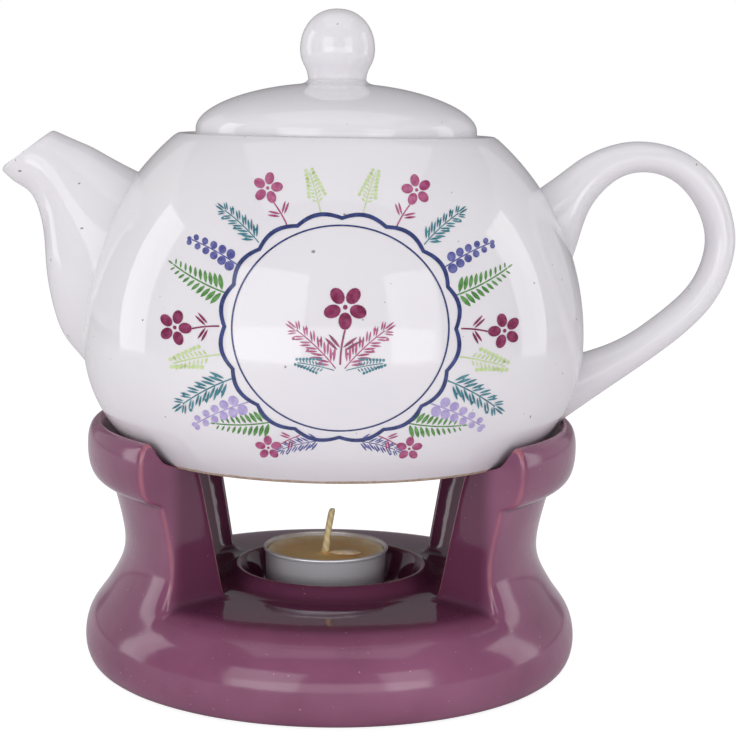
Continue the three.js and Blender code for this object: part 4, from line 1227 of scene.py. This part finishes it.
# %% Drawn aluminium
aluminium = new_material("Drawn-aluminium")
coords = add_node(aluminium, "ShaderNodeTexCoord").outputs["Object"]
height = add_node(aluminium, "ShaderNodeSeparateXYZ", [coords]).outputs["Z"]
rings = add_node(aluminium, "ShaderNodeCombineXYZ", {"Z": height})
lines = add_node(aluminium, "ShaderNodeTexNoise", {
    "Vector": rings, "Scale": PER_MM / 0.4, "Detail": 3, "Roughness": 0.7})
shade = add_node(aluminium, "ShaderNodeMapRange", [lines, LOW, HIGH])
metal = add_node(aluminium, "ShaderNodeMix", {0: shade, 6: "#e8e8f0", 7: "#fcfcff"}, data_type="RGBA")
smudges = add_node(aluminium, "ShaderNodeTexNoise", {"Vector": coords, "Scale": PER_MM / 6, "Detail": 3})
dullness = add_node(aluminium, "ShaderNodeMapRange", [smudges, LOW, HIGH, 0.32, 0.38])
around = add_node(aluminium, "ShaderNodeTangent", direction_type="RADIAL", axis="Z")
surface = add_node(aluminium, "ShaderNodeBsdfPrincipled", {
    "Base Color": metal, "Metallic": 0.5, "Roughness": dullness, "Anisotropic": 0.6, "Tangent": around})
add_node(aluminium, "ShaderNodeOutputMaterial", {"Surface": surface})
print(aluminium.name, "has", len(aluminium.node_tree.nodes), "nodes")

# %% [markdown]
# The wax is paraffin dyed yellow. It lets light in a little way, which softens its shading. Its yellows
# are painted paler than the wax, as painted light that makes up for the pot's shadow over it, and paler
# still towards the rim, which is painted light too. Its surface is slightly dimpled from cooling.

# %% Dyed paraffin wax
# painted light: the wax is drawn paler towards the rim between these distances
RIM_LIGHT_START, RIM_LIGHT_FULL = 12 * MM, 18 * MM  # distance from the wick where the wax gets paler
paraffin = new_material("Dyed-paraffin-wax")
coords = add_node(paraffin, "ShaderNodeTexCoord").outputs["Object"]
centred = add_node(paraffin, "ShaderNodeMapping", {
    "Vector": coords, "Location": (-CUP_X * MM, 0, 0)})
flattened = add_node(paraffin, "ShaderNodeVectorMath", [centred, (1, 1, 0)], operation="MULTIPLY")
from_wick = add_node(paraffin, "ShaderNodeVectorMath", [flattened], operation="LENGTH")
rim_light = add_node(paraffin, "ShaderNodeMapRange", [from_wick, RIM_LIGHT_START, RIM_LIGHT_FULL],
                interpolation_type="SMOOTHSTEP")
# painted light: both yellows are paler than the wax itself, to make up for the pot's shadow
painted_lit_wax = add_node(paraffin, "ShaderNodeMix", {0: rim_light, 6: "#ffdc96", 7: "#fff0cc"}, data_type="RGBA")
clouds = add_node(paraffin, "ShaderNodeTexNoise", {"Vector": coords, "Scale": PER_MM / 4, "Detail": 4})
mottle = add_node(paraffin, "ShaderNodeMapRange", [clouds, 0.4, 0.75, 0, 0.5])
wax = add_node(paraffin, "ShaderNodeMix", {0: mottle, 6: painted_lit_wax, 7: "#f8c270"}, data_type="RGBA")
dimples = add_node(paraffin, "ShaderNodeTexNoise", {"Vector": coords, "Scale": PER_MM / 3.5, "Detail": 3})
skin = add_node(paraffin, "ShaderNodeBump", {"Height": dimples, "Strength": 0.3, "Distance": 0.3 * MM})
surface = add_node(paraffin, "ShaderNodeBsdfPrincipled", {
    "Base Color": wax, "Roughness": 0.48, "IOR": 1.44, "Specular IOR Level": 0.3, "Normal": skin,
    "Subsurface Weight": 0.12, "Subsurface Radius": (1.0, 0.55, 0.2), "Subsurface Scale": 3 * MM})
add_node(paraffin, "ShaderNodeOutputMaterial", {"Surface": surface})
print(paraffin.name, "has", len(paraffin.node_tree.nodes), "nodes")

# %% [markdown]
# The crumb beside the wick is the same wax, set hard and full of air, so it is paler, rough and opaque.
# The wick is braided cotton that is soaked in wax: cream, with slanting lines from its strands. They are
# a little under 1 mm wide, and are drawn at about 1.8 mm so that they show.

# %% Hardened wax and waxed cotton
crumb_wax = new_material("Hardened-wax-crumb")
coords = add_node(crumb_wax, "ShaderNodeTexCoord").outputs["Object"]
flecks = add_node(crumb_wax, "ShaderNodeTexNoise", {"Vector": coords, "Scale": PER_MM / 1.5, "Detail": 3})
shade = add_node(crumb_wax, "ShaderNodeMapRange", [flecks, LOW, HIGH])
cream = add_node(crumb_wax, "ShaderNodeMix", {0: shade, 6: "#e9c795", 7: "#f6e6cd"}, data_type="RGBA")
grains = add_node(crumb_wax, "ShaderNodeTexNoise", {"Vector": coords, "Scale": PER_MM / 0.8, "Detail": 3})
skin = add_node(crumb_wax, "ShaderNodeBump", {"Height": grains, "Strength": 0.4, "Distance": 0.2 * MM})
surface = add_node(crumb_wax, "ShaderNodeBsdfPrincipled", {
    "Base Color": cream, "Roughness": 0.4, "IOR": 1.44, "Normal": skin})
add_node(crumb_wax, "ShaderNodeOutputMaterial", {"Surface": surface})

STRAND, STRAND_TILT = 1.776, math.radians(35)  # width in mm, and slant of the braid
WAVE_REPEAT = math.tau / 20  # at scale 1, the wave pattern repeats once in this many units
cotton = new_material("Waxed-braided-cotton")
coords = add_node(cotton, "ShaderNodeTexCoord").outputs["Object"]
slanted = add_node(cotton, "ShaderNodeMapping", {"Vector": coords, "Rotation": (0, STRAND_TILT, 0)})
braid = add_node(cotton, "ShaderNodeTexWave", {
    "Vector": slanted, "Scale": PER_MM * WAVE_REPEAT / STRAND, "Distortion": 1.5, "Detail Scale": 1.5,
    "Detail": 2}).outputs["Fac"]
yarn = add_node(cotton, "ShaderNodeMix", {0: braid, 6: "#e0c890", 7: "#f3e4ba"}, data_type="RGBA")
skin = add_node(cotton, "ShaderNodeBump", {"Height": braid, "Strength": 0.35, "Distance": 0.1 * MM})
surface = add_node(cotton, "ShaderNodeBsdfPrincipled", {
    "Base Color": yarn, "Roughness": 0.6, "Normal": skin})
add_node(cotton, "ShaderNodeOutputMaterial", {"Surface": surface})
print(crumb_wax.name, "and", cotton.name, "with strands", STRAND, "mm wide")

# %% [markdown]
# The wick's foot is stamped from tin plate, a grey metal with a soft shine. It sits in the wax, and
# keeps its CAD shape.

# %% Tin plate
tin = new_material("Tin-plate")
coords = add_node(tin, "ShaderNodeTexCoord").outputs["Object"]
spangle = add_node(tin, "ShaderNodeTexNoise", {"Vector": coords, "Scale": PER_MM / 1.5, "Detail": 3})
shade = add_node(tin, "ShaderNodeMapRange", [spangle, LOW, HIGH])
grey = add_node(tin, "ShaderNodeMix", {0: shade, 6: "#96989a", 7: "#b4b6b8"}, data_type="RGBA")
dents = add_node(tin, "ShaderNodeTexNoise", {"Vector": coords, "Scale": PER_MM / 0.8})
skin = add_node(tin, "ShaderNodeBump", {"Height": dents, "Strength": 0.2, "Distance": 0.05 * MM})
surface = add_node(tin, "ShaderNodeBsdfPrincipled", {
    "Base Color": grey, "Metallic": 1, "Roughness": 0.38, "Normal": skin})
add_node(tin, "ShaderNodeOutputMaterial", {"Surface": surface})
print(tin.name, "has", len(tin.node_tree.nodes), "nodes")

# %% [markdown]
# Transfer colours are metal oxides in a little flux. They fire to thin, glossy, slightly uneven films:
# each one is a patchy mix of two tones, 1.8 mm from patch to patch.

# %% Transfer colours
PATCH = 1.8  # mm


def transfer(name, dark, light):
    """A fired film of colour."""
    material = new_material(name)
    coords = add_node(material, "ShaderNodeTexCoord").outputs["Object"]
    patches = add_node(material, "ShaderNodeTexNoise", {
        "Vector": coords, "Scale": PER_MM / PATCH, "Detail": 3})
    thinness = add_node(material, "ShaderNodeMapRange", [patches, 0.35, 0.75])
    colour = add_node(material, "ShaderNodeMix", {0: thinness, 6: dark, 7: light}, data_type="RGBA")
    film = add_node(material, "ShaderNodeBsdfPrincipled", {
        "Base Color": colour, "Roughness": 0.12, "IOR": 1.5})
    add_node(material, "ShaderNodeOutputMaterial", {"Surface": film})
    return material


transfers = {
    "navy": transfer("Cobalt-transfer", "#2f3964", "#45508a"),
    "indigo": transfer("Indigo-transfer", "#4d4f8c", "#7c7fb4"),
    "lilac": transfer("Lilac-transfer", "#a394c8", "#c3b8dd"),
    "magenta": transfer("Magenta-transfer", "#963565", "#bd6c93"),
    "plum": transfer("Plum-transfer", "#742547", "#9c4a70"),
    "teal": transfer("Teal-transfer", "#2f6d7c", "#5b98a2"),
    "green": transfer("Green-transfer", "#477e3c", "#79a868"),
    "lime": transfer("Lime-transfer", "#b9d18b", "#d2e2ae"),
}
print("transfer colours", len(transfers))

# %% [markdown]
# Each piece gets one material. The list also names the CAD node of each piece, for its slot, but the loop
# doesn't use it; the print and the crumb of wax are listed with the node of the piece that they lie on.

# %% Coats on the pieces
coats = [
    (warmer, plum, "warmer"), (pot_body, footed_ware, "pot_body"), (spout, white_ware, "spout"),
    (handle, white_ware, "handle"), (lid, white_ware, "lid"), (knob, white_ware, "lid_knob"),
    (cup, aluminium, "tealight_cup"), (wax_block, paraffin, "tealight_wax"),
    (wick, cotton, "tealight_wick"), (flake, crumb_wax, "tealight_wax"),
]
coats += [(piece, transfers[colour], "pot_body") for colour, piece in print_pieces.items()]
for piece, material, slot in coats:
    piece.data.materials.clear()
    piece.data.materials.append(material)
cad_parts["wick_sustainer"].material_slots[0].material = tin
print("coated", len(coats), "pieces and the wick's foot")

# %% [markdown]
# The object stands on white paper. What the camera sees of the paper is white by its own glow, and a
# part of its light still comes from the lamps, so it keeps the object's soft shadow. For all other rays
# it is plain matt paper that throws light back up.

# %% Floor
FLOOR_WIDTH = 6  # metres
GLOW = 0.9  # how white the paper is to the camera without any lamp
deselect()
bpy.ops.mesh.primitive_plane_add(size=FLOOR_WIDTH, location=(AXIS_X, 0, 0))
floor = bpy.context.object
floor.name = "Floor"
paper = new_material("White-paper")
camera_ray = add_node(paper, "ShaderNodeLightPath").outputs["Is Camera Ray"]
matt = add_node(paper, "ShaderNodeBsdfDiffuse", {"Color": "#f1eff1"})
dimmed = add_node(paper, "ShaderNodeBsdfDiffuse", {"Color": "#959495"})
glow = add_node(paper, "ShaderNodeEmission", {"Color": "#ffffff", "Strength": GLOW})
shown = add_node(paper, "ShaderNodeAddShader", [dimmed, glow])
mixed = add_node(paper, "ShaderNodeMixShader", [camera_ray, matt, shown])
add_node(paper, "ShaderNodeOutputMaterial", {"Surface": mixed})
floor.data.materials.append(paper)
print("floor", FLOOR_WIDTH, "m wide")

# %% [markdown]
# The room is white where the camera sees it. It lights the object softly from all sides, and the glaze
# mirrors it as a darker grey, so that the lamps stand out in the reflections.

# %% Room
ROOM_LIGHT, ROOM_MIRRORED = 0.4, 0.25
world = bpy.data.worlds.new("Studio")
bpy.context.scene.world = world
world.use_nodes = True
world.node_tree.nodes.clear()
rays = add_node(world, "ShaderNodeLightPath").outputs
seen = add_node(world, "ShaderNodeMath", [rays["Is Camera Ray"], rays["Is Transmission Ray"]],
                operation="MAXIMUM")
white = add_node(world, "ShaderNodeBackground", {"Color": "#ffffff", "Strength": 1})
room = add_node(world, "ShaderNodeBackground", {"Color": "#f2f0f4", "Strength": ROOM_LIGHT})
mirrored = add_node(world, "ShaderNodeBackground", {"Color": "#f2f0f4", "Strength": ROOM_MIRRORED})
unseen = add_node(world, "ShaderNodeMixShader", [rays["Is Glossy Ray"], room, mirrored])
backdrop = add_node(world, "ShaderNodeMixShader", [seen, unseen, white])
add_node(world, "ShaderNodeOutputWorld", {"Surface": backdrop})
bpy.context.scene.view_settings.view_transform = "Standard"
print("room light", ROOM_LIGHT, "and as the glaze mirrors it", ROOM_MIRRORED)

# %% [markdown]
# Two tall softboxes stand left and right of the camera and give the pot its two soft window-like
# reflections. A wide one hangs overhead, a low one in front fills the shade under the belly, two strips
# at the sides draw bright lines along the outline, and two weak ones light it from behind. A lamp's
# power is worked out from its brightness and size, so that a bigger one isn't a brighter one.

# %% Softboxes
def add_softbox(name, place, aim, width, height, radiance):
    """A soft lamp of a given brightness, seen by the glaze but not by the camera; sizes in mm."""
    deselect()
    bpy.ops.object.light_add(type="AREA", location=[v * MM for v in place])
    lamp = bpy.context.object
    lamp.name = name
    lamp.data.shape = "RECTANGLE"
    lamp.data.size = width * MM
    lamp.data.size_y = height * MM
    lamp.data.energy = radiance * math.pi * width * height * MM * MM
    direction = Vector([v * MM for v in aim]) - Vector([v * MM for v in place])
    lamp.rotation_euler = direction.to_track_quat("-Z", "Y").to_euler()
    lamp.visible_camera = False
    print(name, round(lamp.data.energy, 2), "W")


add_softbox("Softbox-left", (-510, -870, 330), (-10, 0, 110), 620, 680, 1.95)
add_softbox("Softbox-right", (590, -850, 330), (-10, 0, 110), 420, 680, 1.8)
add_softbox("Softbox-top", (0, -60, 900), (0, 0, 100), 900, 700, 0.8)
add_softbox("Softbox-low", (0, -900, 130), (0, 0, 60), 1700, 240, 1.6)
add_softbox("Strip-left", (-890, 120, 260), (0, 0, 70), 300, 800, 2.0)
add_softbox("Strip-right", (890, 120, 260), (0, 0, 70), 300, 800, 1.7)
add_softbox("Softbox-left-back", (-900, 550, 420), (0, 0, 100), 900, 800, 0.32)
add_softbox("Softbox-right-back", (900, 550, 420), (0, 0, 100), 900, 800, 0.3)
